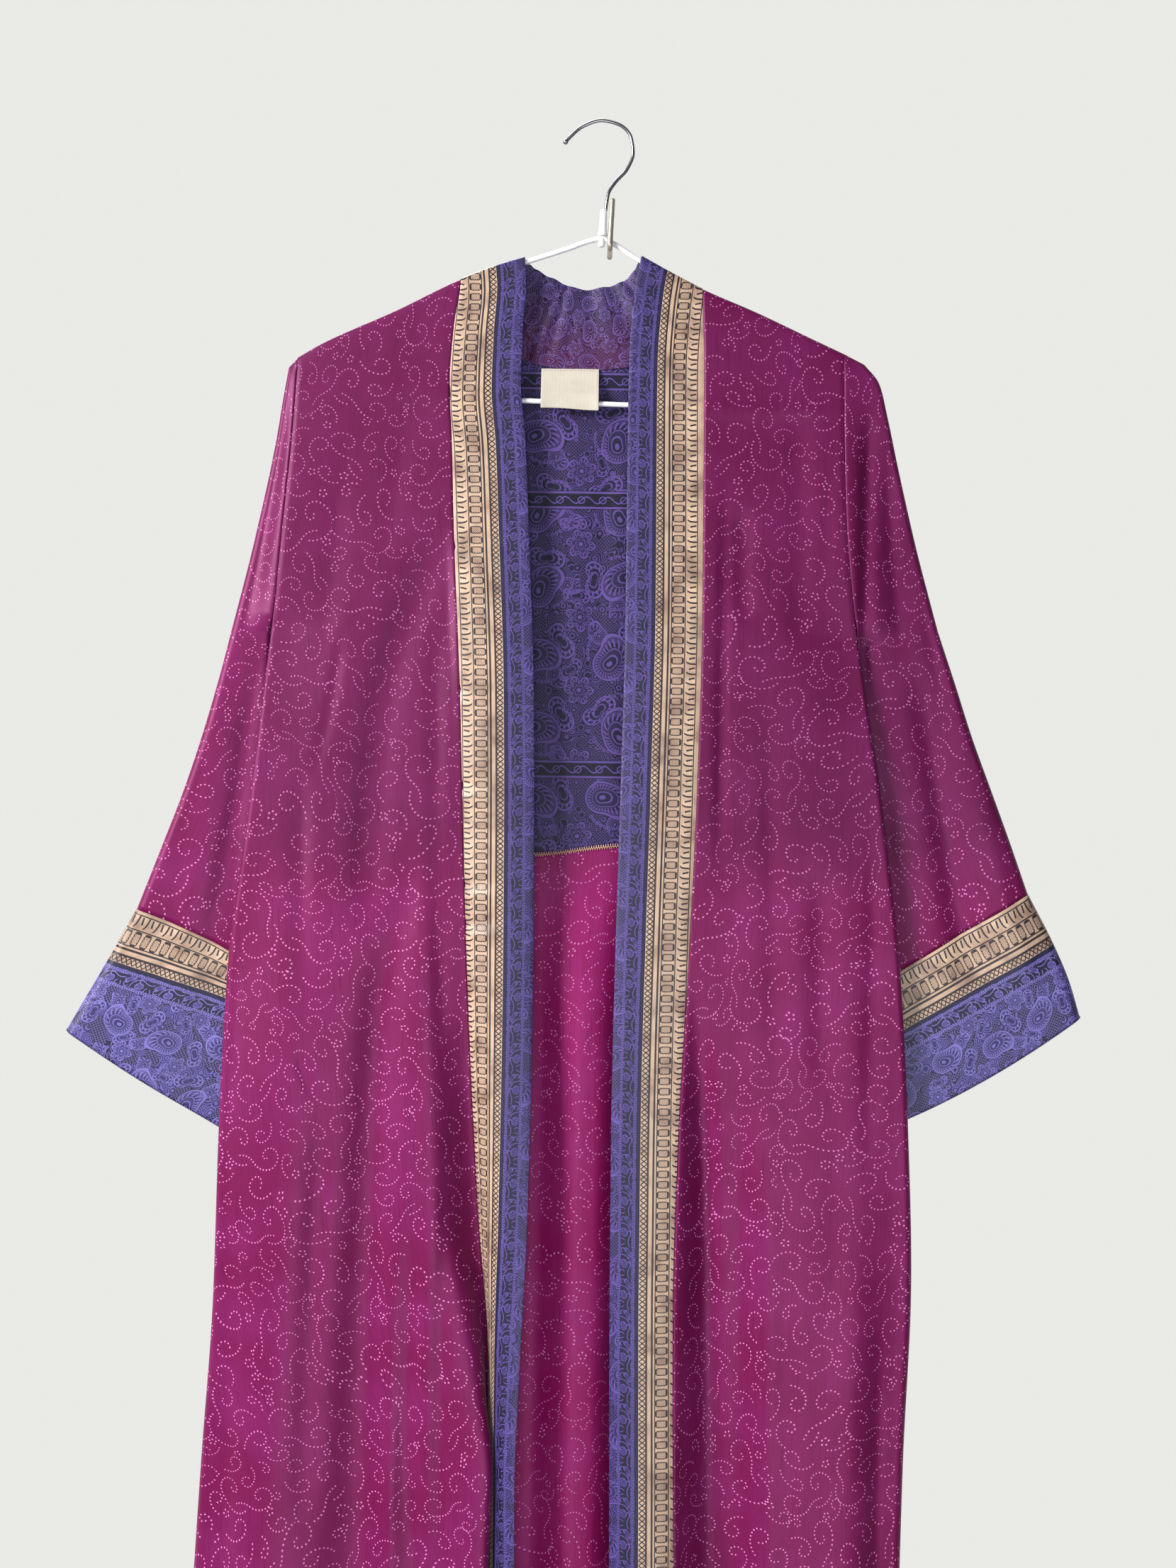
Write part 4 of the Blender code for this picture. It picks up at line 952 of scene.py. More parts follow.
class Loom:
    """The nodes of one finish, or of the room's light."""

    def __init__(self, owner: Material | bpy.types.World) -> None:
        """Start with no nodes in a material or a world.

        Args:
            owner: What the nodes belong to.
        """
        owner.use_nodes = True
        self.owner, self.tree = owner, owner.node_tree
        self.tree.nodes.clear()

    @classmethod
    def finish_named(cls, name: str) -> Loom:
        """A loom for a new material."""
        return cls(bpy.data.materials.new(name))

    def node(self, kind: str, inputs: dict | tuple = (), **settings: object) -> bpy.types.Node:
        """Add a node.

        Args:
            kind: Its type's name without the common beginning.
            inputs: Numbers, inks or yarns, by input or in order.
            settings: Values of its own properties.

        Returns:
            The node.
        """
        made = self.tree.nodes.new("ShaderNode" + kind)
        for name, value in settings.items():
            setattr(made, name, value)
        for key, value in inputs.items() if isinstance(inputs, dict) else enumerate(inputs):
            if isinstance(value, Yarn):
                self.tree.links.new(value.socket, made.inputs[key])
            else:
                made.inputs[key].default_value = value.linear if isinstance(value, Ink) else value
        return made

    def out(self, kind: str, inputs: dict | tuple = (), which: int | str = 0, **settings: object) -> Yarn:
        """Add a node and take one of its outputs."""
        return Yarn(self, self.node(kind, inputs, **settings).outputs[which])

    def mix(self, share: float | Yarn, first: Ink | Yarn, second: Ink | Yarn) -> Yarn:
        """Blend of two colours."""
        return self.out("Mix", {0: share, 6: first, 7: second}, 2, data_type="RGBA")

    def cloth(self) -> Yarn:
        """The place on the flat cloth, in millimetres."""
        return self.out("UVMap", uv_map="cloth").stretch(1000, 1000)

    def end(self, kind: str, inputs: dict, output: str) -> Material | bpy.types.World:
        """End with a shader and its output."""
        self.tree.links.new(self.node(kind, inputs).outputs[0], self.node(output).inputs[0])
        return self.owner

    def finish(self, colour: Ink | Yarn, **values: object) -> Material:
        """End the finish with its base colour and other sockets, underscores for spaces."""
        inputs = {name.replace("_", " "): value for name, value in values.items()}
        return self.end("BsdfPrincipled", {"Base Color": colour, **inputs}, "OutputMaterial")


@dataclass(frozen=True)
class MagentaSilk:
    """Soft magenta silk printed with pale dotted scrolls."""

    name: str = "magenta_silk_finish"
    ground: Ink = Ink(83, 12, 55)
    shade: Ink = Ink(64, 7, 41)
    tint: Ink = Ink(90, 21, 66)
    # Painted shade: darker ink for the body above the waist, in place of the dark back seen through the silk
    painted_see_through_shade: Ink = Ink(28, 12, 34)
    dot: Ink = Ink(180, 108, 158)
    cell: float = 54
    pitch: float = 2.9
    dot_radius: float = 0.54
    wander: float = 14
    scrolls: tuple[Vine, ...] = (
        Vine(-21, -0.6, 40, ((15.6, 50), (19.2, -55), (7.7, -230), (2.8, -150))),
        Vine(-21, 8.4, 210, ((14.4, 160), (7.7, 150), (3, 170))),
        Vine(17.4, 1.8, 120, ((13.2, 85), (4.6, 245))),
        Vine(0, -19.8, 80, ((14.4, -85), (5.4, -240))),
        Vine(25.8, 6, 70, ((8.4, 80), (2.6, 240))),
        Vine(-10.2, -23.4, 50, ((2.4, -300),)))
    sprigs: tuple[Vine, ...] = (
        Vine(-4.2, 3, 270, ((10.8, 85), (4, 240))), Vine(1.2, 10.2, 170, ((2.4, 300),)))

    def make(self) -> Material:
        """The finish: ground, slow changes of its tint, and the dots of every arc.

        Scrolls lie about the middles of square cells and sprigs about their corners, each
        cell's turned at random, and slow noise shifts the whole print. Above the waist,
        right of the left sleeve, the colour is darkened by painted shade that stands in for
        the dark back seen through the thin silk.

        Returns:
            The material.
        """
        loom = Loom.finish_named(self.name)
        place = loom.cloth()
        drift = place.noise(0.014, 0, "Color").stretch(2 * self.wander, 2 * self.wander)
        printed = place.vector("ADD", drift)
        near = (printed.scatter(self.cell, 0).dotted(self.scrolls, self.pitch)
                & printed.scatter(self.cell, 0.5).dotted(self.sprigs, self.pitch))
        size = (self.dot_radius / self.pitch) ** 2
        colour = loom.mix(place.noise(0.016).smooth(0.32, 0.68), self.ground, self.tint)
        colour = loom.mix(place.stretch(1.1, 0.022).noise(1).smooth(0.5, 0.85), colour, self.shade)
        colour = loom.mix(place.stretch(0.05, 1.4).noise(1).smooth(0.62, 0.9), colour, self.shade)
        colour = loom.mix(near.smooth(1.6 * size, 0.5 * size) * 0.85, colour, self.dot)
        # Painted shade: by place in the scene, the colour above the waist and right of the left sleeve is
        # darkened
        x, _, z = loom.out("TexCoord", (), "Object").parts
        behind = z.smooth(-0.53, -0.45) * x.smooth(-0.31, -0.24)
        colour = loom.mix(behind * 0.3, colour, self.painted_see_through_shade)
        return loom.finish(colour, Roughness=0.47, Normal=place.weave(0.16), Sheen_Weight=0.1,
                           Sheen_Roughness=0.35, Sheen_Tint=(1, 0.5, 0.75, 1),
                           Specular_IOR_Level=0.28, Specular_Tint=(1, 0.45, 0.75, 1))


@dataclass(frozen=True)
class VioletPrint:
    """Print of paisleys, flowers and leaves in pale and middle violet on a dark ground."""

    ground: Ink = Ink(15, 10, 39)
    fill: Ink = Ink(26, 19, 58)
    pale: Ink = Ink(68, 55, 112)
    cell: float = 42
    motifs: tuple[Motif, ...] = (
        Motif(Shape.PAISLEY, -6, 7, 18, -40, 0.9, 22), Motif(Shape.LEAF, 10, -10, 11, 60, 0.5, 16),
        Motif(Shape.PAISLEY, -8, -12, 10, 215, -0.9, 14))
    corners: tuple[Motif, ...] = (
        Motif(Shape.FLOWER, 0, 0, 8.6, 12, 0, 24), Motif(Shape.LEAF, 11, 3, 8, 100, -0.5, 12))
    patches: float = 0.5

    def field(self, place: Yarn) -> tuple[Yarn, Yarn]:
        """Light ink and middle ink of the print.

        Motifs lie about the middles and the corners of square cells, each cell's turned at
        random. Between the motifs lie rings round scattered centres, a lattice and
        patches of the middle ink.

        Args:
            place: Place on the cloth in millimetres.

        Returns:
            The light ink and the middle ink, each from 0 to 1.
        """
        spots = ((self.motifs, place.scatter(self.cell, 0)), (self.corners, place.scatter(self.cell, 0.5)))
        inks, insides = zip(*(spot.motif(motif) for motifs, spot in spots for motif in motifs))
        inside = reduce(or_, insides)
        centre = place.loom.out("TexVoronoi", {"Vector": place, "Scale": 0.13}, "Distance")
        rings = (centre * 34).sine() > 0.3
        across, along, _ = place.parts
        lattice = (((across + along) * 2.3).sine() | ((across - along) * 2.3).sine()) > 0.82
        kind = place.noise(0.075, 0)
        behind = place.loom.out("Mix", {0: kind > 0.53, 2: rings, 3: lattice})
        free = inside < 0.5
        return reduce(or_, inks) | behind * free * 0.7, inside * 0.75 | (kind < self.patches) * free

    def colours(self, ink: Yarn, middle: Yarn) -> Yarn:
        """The print's colour from its two inks."""
        return ink.loom.mix(ink, ink.loom.mix(middle, self.ground, self.fill), self.pale)


@dataclass(frozen=True)
class Border:
    """Woven gold border beside a navy line, two lines of beads and a strip of scrolls.

    Each place is a distance in millimetres from the edge between gold and navy: the gold is
    counted one way, and what lies on the violet silk the other way. The stretch makes all
    of it wider, but no longer.
    """

    stretch: float = 1
    gold: Ink = Ink(139, 115, 97)
    bright: Ink = Ink(180, 157, 135)
    dull: Ink = Ink(108, 84, 72)
    dark: Ink = Ink(18, 7, 22)
    mauve: Ink = Ink(118, 92, 82)
    navy: Ink = Ink(15, 10, 46)
    lattice: tuple[float, float] = (0.3, 5.5)
    boxes: tuple[float, float] = (13.4, 22.4)
    leaves: tuple[float, float] = (24.6, 32.3)
    lines: tuple[tuple[float, float], ...] = ((6, 1.5), (10.3, 1.5), (12.7, 0.8), (23.4, 0.8), (32.8, 0.8))
    period: float = 8
    navy_width: float = 3.1
    bead_lines: tuple[float, float] = (4.5, 15.6)
    strip: tuple[float, float] = (6.1, 14.1)
    strip_period: float = 24
    scroll: tuple[Vine, ...] = (
        Vine(-2.4, 0, 60, ((7.2, 60), (7.2, -120), (7.2, 60))), Vine(1.4, 5, 60, ((2.3, -290),)),
        Vine(-1.4, 15, 120, ((2.3, 290),)), Vine(-3, 9, 150, ((1.6, -260),)),
        Vine(3, 20, 30, ((1.6, 260),)))
    sprigs: tuple[Motif, ...] = (Motif(Shape.LEAF, -1.6, 20, 3.9, 70, 0.4, 6),
                                 Motif(Shape.PAISLEY, 1.2, 10, 4.6, 110, 0.7, 6))

    def gilt(self, out: Yarn, along: Yarn) -> Yarn:
        """Colour of the gold side.

        Dark ink makes: lines along it, a lattice of crossed diagonals, rounded boxes with a
        scalloped rim and a dotted filling, and tulip leaves between a straight stroke that
        ends in a bud and a stroke that curls at its end. All of it repeats with one period
        along the border.

        Args:
            out: Distance into the gold.
            along: Distance along the border.

        Returns:
            The colour.
        """
        loom = out.loom
        out = out * (1 / self.stretch)
        width = self.lattice[1] - self.lattice[0]
        slant = out.affine(math.pi / width, -math.pi * self.lattice[0] / width)
        step = along * (TURN / self.period)
        cross = abs((slant + step).sine()) & abs((slant - step).sine())
        lattice = (cross < 0.42) * out.between(*self.lattice)
        cell = along.wrap(0.5 * self.period, -0.5 * self.period)
        width = self.boxes[1] - self.boxes[0]
        rim = abs(out.affine(2 / width, -sum(self.boxes) / width)) ** 4 + abs(cell * (1 / 2.75)) ** 4
        outline = (rim + (out * 3.3).sine() * 0.2).between(0.42, 1.4)
        filling = rim < 0.42
        specks = ((out * 4.2).sine() * (cell * 4.2).sine() > 0.5) * filling
        width = self.leaves[1] - self.leaves[0]
        share = out.affine(-1 / width, self.leaves[1] / width)
        curl = ((share | 0) ** 4).affine(1.9, -2.5)
        slope = share.affine(-1.5, 2.5)
        low = (abs(cell - curl) < 0.675) * share.between(0, 0.97)
        high = (abs(cell - slope) < 0.675) * share.between(0.05, 0.62)
        bud = loom.out("CombineXYZ", (share - 0.6, cell.affine(0.13, -0.19))).vector("LENGTH") < 0.095
        petal = share.between(0.05, 0.9) * (cell > curl) * (cell < slope)
        ribs = ((out + along) * 7.4).sine().affine(0.32, 0.34)
        worn = loom.out("CombineXYZ", (out, along)).noise(0.05).smooth(0.4, 0.8)
        base = loom.mix(ribs + petal * 0.3, self.gold, self.bright)
        base = loom.mix(filling * 0.2, loom.mix(worn, base, self.dull), self.mauve)
        lines = [out.line(*line) for line in self.lines]
        inks = reduce(or_, [lattice, low, high, bud, outline, specks, *lines])
        return loom.mix(inks * 0.97, base, self.dark)

    def trim(self, away: Yarn, along: Yarn, violet: VioletPrint, colour: Yarn) -> Yarn:
        """Colour of the silk side: navy line, beads, scrolls, beads, then the print.

        Args:
            away: Distance from the gold's edge over the silk.
            along: Distance along the border.
            violet: The print's inks.
            colour: Colour of the print.

        Returns:
            The colour.
        """
        loom = away.loom
        away = away * (1 / (0.5 + 0.5 * self.stretch))
        wave = (along * (TURN / 1.9)).cosine()
        for place in self.bead_lines:
            across = away.affine(2 / 1.5, -place * 2 / 1.5)
            inks = loom.mix(wave - across * across > 0.3, violet.pale, violet.ground)
            colour = loom.mix(away.line(place, 1.6), colour, inks)
        point = loom.out("CombineXYZ", (away - 0.5 * sum(self.strip), along))
        tile = (200, self.strip_period)
        pen = reduce(and_, [point.stroke(arc, tile) for vine in self.scroll for arc in vine.arcs()]) < 0.32
        leaves, insides = zip(*(point.motif(motif, tile) for motif in self.sprigs))
        strip = loom.mix(reduce(or_, insides), violet.ground, violet.fill)
        strip = loom.mix(reduce(or_, [pen, *leaves]), strip, violet.pale)
        colour = loom.mix(away.between(*self.strip), colour, strip)
        return loom.mix(away < self.navy_width, colour, self.navy)


@dataclass(frozen=True)
class Brocade:
    """Violet print with the gold border woven along it, for the front bands and the cuffs."""

    name: str
    gold_at: float
    gold_beyond: bool
    border: Border = Border()
    violet: VioletPrint = VioletPrint()

    def make(self) -> Material:
        """The finish. Its first cloth number runs across the border, its second along it.

        Returns:
            The material.
        """
        loom = Loom.finish_named(self.name + "_finish")
        place = loom.cloth()
        across, along, _ = place.parts
        hand = 1 if self.gold_beyond else -1
        out = across.affine(hand, -hand * self.gold_at)
        silk = self.violet.colours(*self.violet.field(place.vector("ADD", (17, 9, 0))))
        silk = self.border.trim(out * -1, along, self.violet, silk)
        is_gold = out > 0
        colour = loom.mix(is_gold, silk, self.border.gilt(out, along))
        colour = loom.mix(place.noise(0.03).smooth(0.35, 0.7) * 0.16, colour, Ink(22, 14, 32))
        return loom.finish(colour, Roughness=is_gold.affine(-0.06, 0.5), Normal=place.weave(0.3, 1.3),
                           Sheen_Weight=0.06, Sheen_Roughness=0.4, Specular_IOR_Level=0.3)


@dataclass(frozen=True)
class BackSilk:
    """Dark violet silk of the upper back, with strings of beads, motifs and level borders."""

    violet: VioletPrint = VioletPrint(
        Ink(11, 6, 31), Ink(16, 10, 42), Ink(68, 52, 106), 58,
        (Motif(Shape.PAISLEY, -6, 8, 25, -30, 0.8, 26), Motif(Shape.LEAF, 15, -10, 15, 70, 0.4, 18),
         Motif(Shape.PAISLEY, -12, -15, 13, 200, -0.9, 16)),
        (Motif(Shape.FLOWER, 0, 0, 12, 12, 0, 24), Motif(Shape.LEAF, 17, 3, 11, 95, -0.5, 14)), 0.42)
    strings: tuple[Vine, ...] = (Vine(-22, 2, 260, ((20, 70),)), Vine(14, 12, 120, ((16, 80),)),
                                 Vine(6, -24, 10, ((16, 85),)))
    borders: tuple[float, ...] = (-103, -197, -411)

    def make(self) -> Material:
        """The finish: ground, motifs, dotted strings, and the level borders across the back.

        Returns:
            The material.
        """
        loom = Loom.finish_named("violet_back_finish")
        place = loom.cloth()
        ink, middle = self.violet.field(place)
        bead = place.scatter(self.violet.cell, 0).dotted(self.strings, 3.4).between(0.035, 0.15)
        colour = self.violet.colours(ink | bead, middle)
        across, height, _ = place.parts
        wave = (across * (TURN / 17)).sine() * 2.6
        for level in self.borders:
            off = height - level
            curl = loom.out("CombineXYZ", (across.wrap(8.5, -8.5), off)).vector("LENGTH")
            lines = (abs(abs(off) - 6) < 0.8) | (abs(off - wave) < 0.55) | (abs(curl - 2.6) < 0.42)
            tone = loom.mix(lines, self.violet.ground, self.violet.pale)
            colour = loom.mix(abs(off) < 7.4, colour, tone)
        return loom.finish(colour, Roughness=0.52, Normal=place.weave(0.22),
                           Sheen_Weight=0.04, Sheen_Roughness=0.45, Specular_IOR_Level=0.2)


@dataclass(frozen=True)
class NeckSilk:
    """Violet print of the neck band, tinted magenta towards its seam."""

    violet: VioletPrint = VioletPrint(
        Ink(13, 7, 29), Ink(22, 14, 44), Ink(80, 64, 114), 26,
        (Motif(Shape.PAISLEY, -3, 4, 12, -40, 0.9, 18), Motif(Shape.LEAF, 7, -7, 8, 60, 0.5, 12)),
        (Motif(Shape.FLOWER, 0, 0, 6, 12, 0, 18),), 0.45)
    plum: Ink = Ink(58, 13, 44)
    seam_at: float = 66

    def make(self) -> Material:
        """The finish. Its first cloth number is the distance from the free edge.

        Returns:
            The material.
        """
        loom = Loom.finish_named("violet_neck_finish")
        place = loom.cloth()
        ink, middle = self.violet.field(place.vector("ADD", (30, 4, 0)))
        share = place.parts[0].smooth(0.1 * self.seam_at, 0.95 * self.seam_at) * ink.affine(-0.7, 0.85)
        colour = loom.mix(share, self.violet.colours(ink, middle), self.plum)
        return loom.finish(colour, Roughness=0.5, Normal=place.weave(0.25),
                           Sheen_Weight=0.05, Sheen_Roughness=0.45, Specular_IOR_Level=0.2)


@dataclass(frozen=True)
class PlainFinish:
    """One-colour finish with fine unevenness, for thread, tape, coating and metal."""

    name: str
    tone: Ink
    stain: Ink
    roughness: float
    metallic: float = 0
    grain: float = 900
    bump: float = 0.1
    coat: float = 0
    woven: bool = False

    def make(self) -> Material:
        """The finish: its tone, stained by slow and by fine noise, with a little bump.

        Returns:
            The material.
        """
        loom = Loom.finish_named(self.name + "_finish")
        place = loom.out("TexCoord", (), "Object")
        slow = place.noise(0.12 * self.grain).smooth(0.42, 0.72)
        height = place.noise(self.grain)
        if self.woven:
            height = height + place.vector("MULTIPLY", (5200,) * 3).vector("SINE").parts[0] * 0.3
        normal = loom.out("Bump", {"Height": height, "Strength": self.bump, "Distance": 0.0003})
        return loom.finish(loom.mix(slow * 0.6, self.tone, self.stain), Metallic=self.metallic,
                           Roughness=slow.affine(0.16, self.roughness), Normal=normal,
                           Coat_Weight=self.coat)


@dataclass(frozen=True)
class Finishes:
    """Every finish of the robe and of what carries it."""

    magenta: MagentaSilk = MagentaSilk()
    # Painted light: a lighter copy of the magenta silk that brightens the lower back, which the fronts and
    # bands shade
    lower: MagentaSilk = MagentaSilk("lower_silk_painted_light_finish", Ink(108, 16, 70), Ink(84, 9, 52), Ink(112, 26, 80))
    back: BackSilk = BackSilk()
    neck: NeckSilk = NeckSilk()
    band: Brocade = Brocade("front_band", 23.6, True)
    cuff: Brocade = Brocade("cuff", 43.5, False, Border(1.24), VioletPrint(
        Ink(16, 12, 42), Ink(38, 32, 82), Ink(92, 84, 144), patches=0.44))
    label: PlainFinish = PlainFinish("label_tape", Ink(153, 147, 136), Ink(149, 143, 131), 0.85,
                                     bump=0.35, woven=True)
    gold_thread: PlainFinish = PlainFinish("gold_thread", Ink(168, 136, 112), Ink(134, 104, 86),
                                           0.55, bump=0.5)
    pale_thread: PlainFinish = PlainFinish("pale_thread", Ink(160, 124, 140), Ink(130, 96, 110),
                                           0.55, bump=0.5)
    dark_thread: PlainFinish = PlainFinish("dark_thread", Ink(40, 36, 44), Ink(26, 22, 30), 0.6,
                                           bump=0.5)
    violet_thread: PlainFinish = PlainFinish("violet_thread", Ink(60, 46, 104), Ink(44, 34, 80),
                                             0.55, bump=0.5)
    coating: PlainFinish = PlainFinish("white_coating", Ink(186, 186, 190), Ink(172, 172, 176),
                                       0.34, bump=0.06, coat=0.3)
    chrome: PlainFinish = PlainFinish("bright_wire", Ink(132, 132, 136), Ink(96, 96, 100), 0.2,
                                      metallic=1, grain=300, bump=0.01)
    nickel: PlainFinish = PlainFinish("nickel", Ink(158, 152, 136), Ink(104, 96, 80), 0.34,
                                      metallic=0.8, bump=0.06)


def band_point(half: Half, line: str, z: Array) -> Array:
    """Points of one of a front band's three lines: its table's place, and the hang plus its lift."""
    x = read(BANDS[half], z, line)
    return points(x, hang(Layer.FRONT, x, z) + read(BAND_LIFTS[half], z, line), z)


def neck_seam(share: Array) -> Array:
    """Points of the neck's seam on the back, by the share of its length."""
    x, z = read(NECK_SEAM, share, "x"), read(NECK_SEAM, share, "z")
    return points(x, hang(Layer.BACK, x, z), z)


def seam_pinch(half: Half, z: Array) -> Array:
    """Depth of the dip along the armhole seam, which ends at the underarm."""
    return 0.8 * ease((z - UNDERARMS[half]) / 20) * ease((SIDES[half]["z"][0] - z) / 12)


@dataclass(frozen=True)
class Panels:
    """Fronts and backs: long panels that hang from the crest over the hanger's arms."""

    side_cells: int = 6
    far_cells: int = 44
    near_cells: int = 14
    shoulder_cells: int = 26
    neck_cells: int = 60
    roll_width: float = 36
    side_blend: float = 55
    back_blend: float = 45
    armhole_step: float = 0.8
    roll_out: float = 23
    roll_up: float = 19
    bar_ridge: float = 1.1
    rows: tuple[int, int, int] = (48, 44, 176)
    top_drops: tuple[float, ...] = (0, 0.25, 0.6, 1.2, 2, 3.2, 5)

    def levels(self, half: Half) -> Array:
        """Heights of a panel's rows at its side: crest, shoulder, underarm, waist and hem.

        Args:
            half: Side of the robe.

        Returns:
            The heights, from the top.
        """
        top = SIDES[half]["z"][0] - np.array(self.top_drops)
        waist = float(read(WAIST, side_x(half, WAIST_LEVEL), "z"))
        spans = ((top[-1], UNDERARMS[half]), (UNDERARMS[half], waist), (waist, HEM))
        parts = [np.linspace(*span, count + 1)[1:] for span, count in zip(spans, self.rows)]
        return np.concatenate([top, *parts])

    @property
    def waist_row(self) -> int:
        """Number of the row on the waist seam."""
        return len(self.top_drops) - 1 + self.rows[0] + self.rows[1]

    def band_levels(self, half: Half, line: str) -> Array:
        """Heights of a band's rows on one of its lines, level with the side below the waist.

        Args:
            half: Side of the robe.
            line: Seam, middle or free.

        Returns:
            The heights, from the top.
        """
        side = self.levels(half)
        start = float(crest(BANDS[half][line][0]))
        share = np.clip((side - side[0]) / (side[self.waist_row] - side[0]), 0, 1)
        return side + (start - side[0]) * (1 - share) ** 2

    def side_arc(self, half: Half, layer: Layer, z: Array) -> tuple[Array, Array]:
        """Columns next to the side, by row and column.

        Above the underarm they are short even steps at the armhole's depth. Below it they
        are a quarter turn: across by the radius less its cosine, and out by its sine.

        Args:
            half: Side of the robe.
            layer: Front or back.
            z: Height of each row, as a column.

        Returns:
            The columns' places across, and their depths.
        """
        edge, radius = side_x(half, z), read(SIDE_FOLD, z, "radius")
        count = np.arange(self.side_cells + 1)
        angle = count / self.side_cells * math.pi / 2
        flat_x = edge + half.inward * self.armhole_step * count
        turn_x = edge + half.inward * radius * (1 - np.cos(angle))
        flat_depth = armhole_depth(half, layer, z)
        turn_depth = read(SIDE_FOLD, z, "middle") + layer.way * (radius * np.sin(angle) + 0.03)
        under = ease((UNDERARMS[half] + 3 - z) / 9)
        return flat_x + (turn_x - flat_x) * under, flat_depth + (turn_depth - flat_depth) * under

    def front(self, half: Half) -> tuple[Array, Array]:
        """Points of a front and their places on the flat cloth.

        A point's depth is the hang of the cloth, eased to the side's and to the band's own
        depths at its two edges, less the troughs. Its height runs from the side's level to
        the band's, bent along the crest and level again further down.

        Args:
            half: Side of the robe.

        Returns:
            The points and the cloth's places, both in millimetres by row and column.
        """
        side = self.levels(half)[:, None]
        seam_x, seam_depth, seam_z = band_point(half, "seam", self.band_levels(half, "seam")).T[..., None]
        seam_x = seam_x + half.inward * 0.3
        arc_x, arc_depth = self.side_arc(half, Layer.FRONT, side)
        turned = arc_x[:, -1:]
        far = np.linspace(0, 1, self.far_cells + 1)[1:]
        near = np.linspace(self.roll_width, 0, self.near_cells + 1)[1:]
        far_x = turned + (seam_x - half.inward * self.roll_width - turned) * far
        x = np.concatenate([arc_x, far_x, seam_x - half.inward * near], axis=1)
        across = (x - x[:, :1]) / (seam_x - x[:, :1])
        bend = crest(x) - (side[0] + (seam_z[0] - side[0]) * across)
        z = side + (seam_z - side) * across + bend * np.clip(1 - (side[0] - side) / 400, 0, 1)
        from_side, from_seam = np.abs(x - turned), np.abs(seam_x - x)
        depth = hang(Layer.FRONT, x, z)
        depth += (arc_depth[:, -1:] - depth) * (1 - ease(from_side / self.side_blend))
        depth += (seam_depth - depth) * (1 - ease(from_seam / self.roll_width))
        folds = fold_relief(FRONT_FOLDS[half], x, z) + fold_relief(FRONT_CREASES[half], x, z, 0.3)
        depth += self.over_bar(half, x, z) - folds * ease(from_seam / 7) * ease(from_side / 12)
        depth[:, :self.side_cells + 1] = arc_depth
        depth -= seam_pinch(half, side) * bell((x - x[:, :1]) / 2.2)
        if half is Half.LEFT:
            roll = read(BAND_ROLL, side, "share")
            roll = roll * np.sin(math.pi * np.clip(1 - from_seam / self.roll_width, 0, 1)) ** 2
            x, depth = x + self.roll_out * roll, depth + self.roll_up * roll
        grid = points(x, depth, z)
        return grid, points(half.inward * off_column(grid, -1), z)

    def over_bar(self, half: Half, x: Array, z: Array) -> Array:
        """Faint ridge where the cloth lies over the hanger's bar: a bell across its height."""
        length = ease((x - BAR_ENDS[half]) * half.inward / 30)
        return self.bar_ridge * length * bell((z - BAR_HEIGHTS[half]) / 4)

    def back(self) -> tuple[Array, Array]:
        """Points of the whole back, crest to hem, and their places on the flat cloth.

        Columns run from the left fold over the left shoulder, under the neck and over the
        right shoulder to the right fold. The rows start on the crest and the neck's seam and
        turn level further down, by way of the waist seam.

        Returns:
            The points and the cloth's places, both in millimetres by row and column.
        """
        z_left, z_right = (self.levels(half)[:, None] for half in Half)
        left_x, left_depth = self.side_arc(Half.LEFT, Layer.BACK, z_left)
        right_x, right_depth = self.side_arc(Half.RIGHT, Layer.BACK, z_right)
        neck = neck_seam(np.linspace(0, 1, self.neck_cells + 1))
        cells = np.linspace(0, 1, self.shoulder_cells + 1)[1:-1]
        left_part = left_x[:, -1:] + (neck[0, 0] - left_x[:, -1:]) * cells
        right_part = neck[-1, 0] + (right_x[:, -1:] - neck[-1, 0]) * cells
        neck_x = np.broadcast_to(neck[:, 0], (len(z_left), len(neck)))
        x = np.concatenate([left_x, left_part, neck_x, right_part, right_x[:, ::-1]], axis=1)
        z_crest = crest(x)
        first = self.side_cells + self.shoulder_cells
        z_crest[:, first:first + len(neck)] = neck[:, 2]
        across = (x - x[:, :1]) / (x[:, -1:] - x[:, :1])
        level = z_left + (z_right - z_left) * across
        fade = np.clip(1 - (z_left[0] - z_left) / 390, 0, 1) ** 2
        waist = self.waist_row
        by_waist = bell((z_left - z_left[waist]) / 40)
        start = z_left[0] + (z_right[0] - z_left[0]) * across
        z = level + (z_crest - start) * fade + (read(WAIST, x[waist], "z") - level[waist]) * by_waist
        depth = hang(Layer.BACK, x, z)
        for half, arc_x, arc_depth in ((Half.LEFT, left_x, left_depth),
                                       (Half.RIGHT, right_x, right_depth)):
            away = np.abs(x - arc_x[:, -1:]) - read(BACK_HOLD, z, half.value)
            depth += (arc_depth[:, -1:] - depth) * (1 - ease(away / self.back_blend))
        inside = np.minimum(np.abs(x - left_x[:, -1:]), np.abs(x - right_x[:, -1:])) - 20
        folds = fold_relief(BACK_FOLDS, x, z) + fold_relief(BACK_CREASES, x, z, 0.3)
        depth -= folds * ease(inside / 30)
        depth[:, :self.side_cells + 1] = left_depth
        depth[:, -self.side_cells - 1:] = right_depth[:, ::-1]
        for half, side, edge in ((Half.LEFT, z_left, x[:, :1]), (Half.RIGHT, z_right, x[:, -1:])):
            depth += seam_pinch(half, side) * bell((x - edge) / 2.2)
        grid = points(x, depth, z)
        return grid, points(off_column(grid, first + self.neck_cells // 2), z)

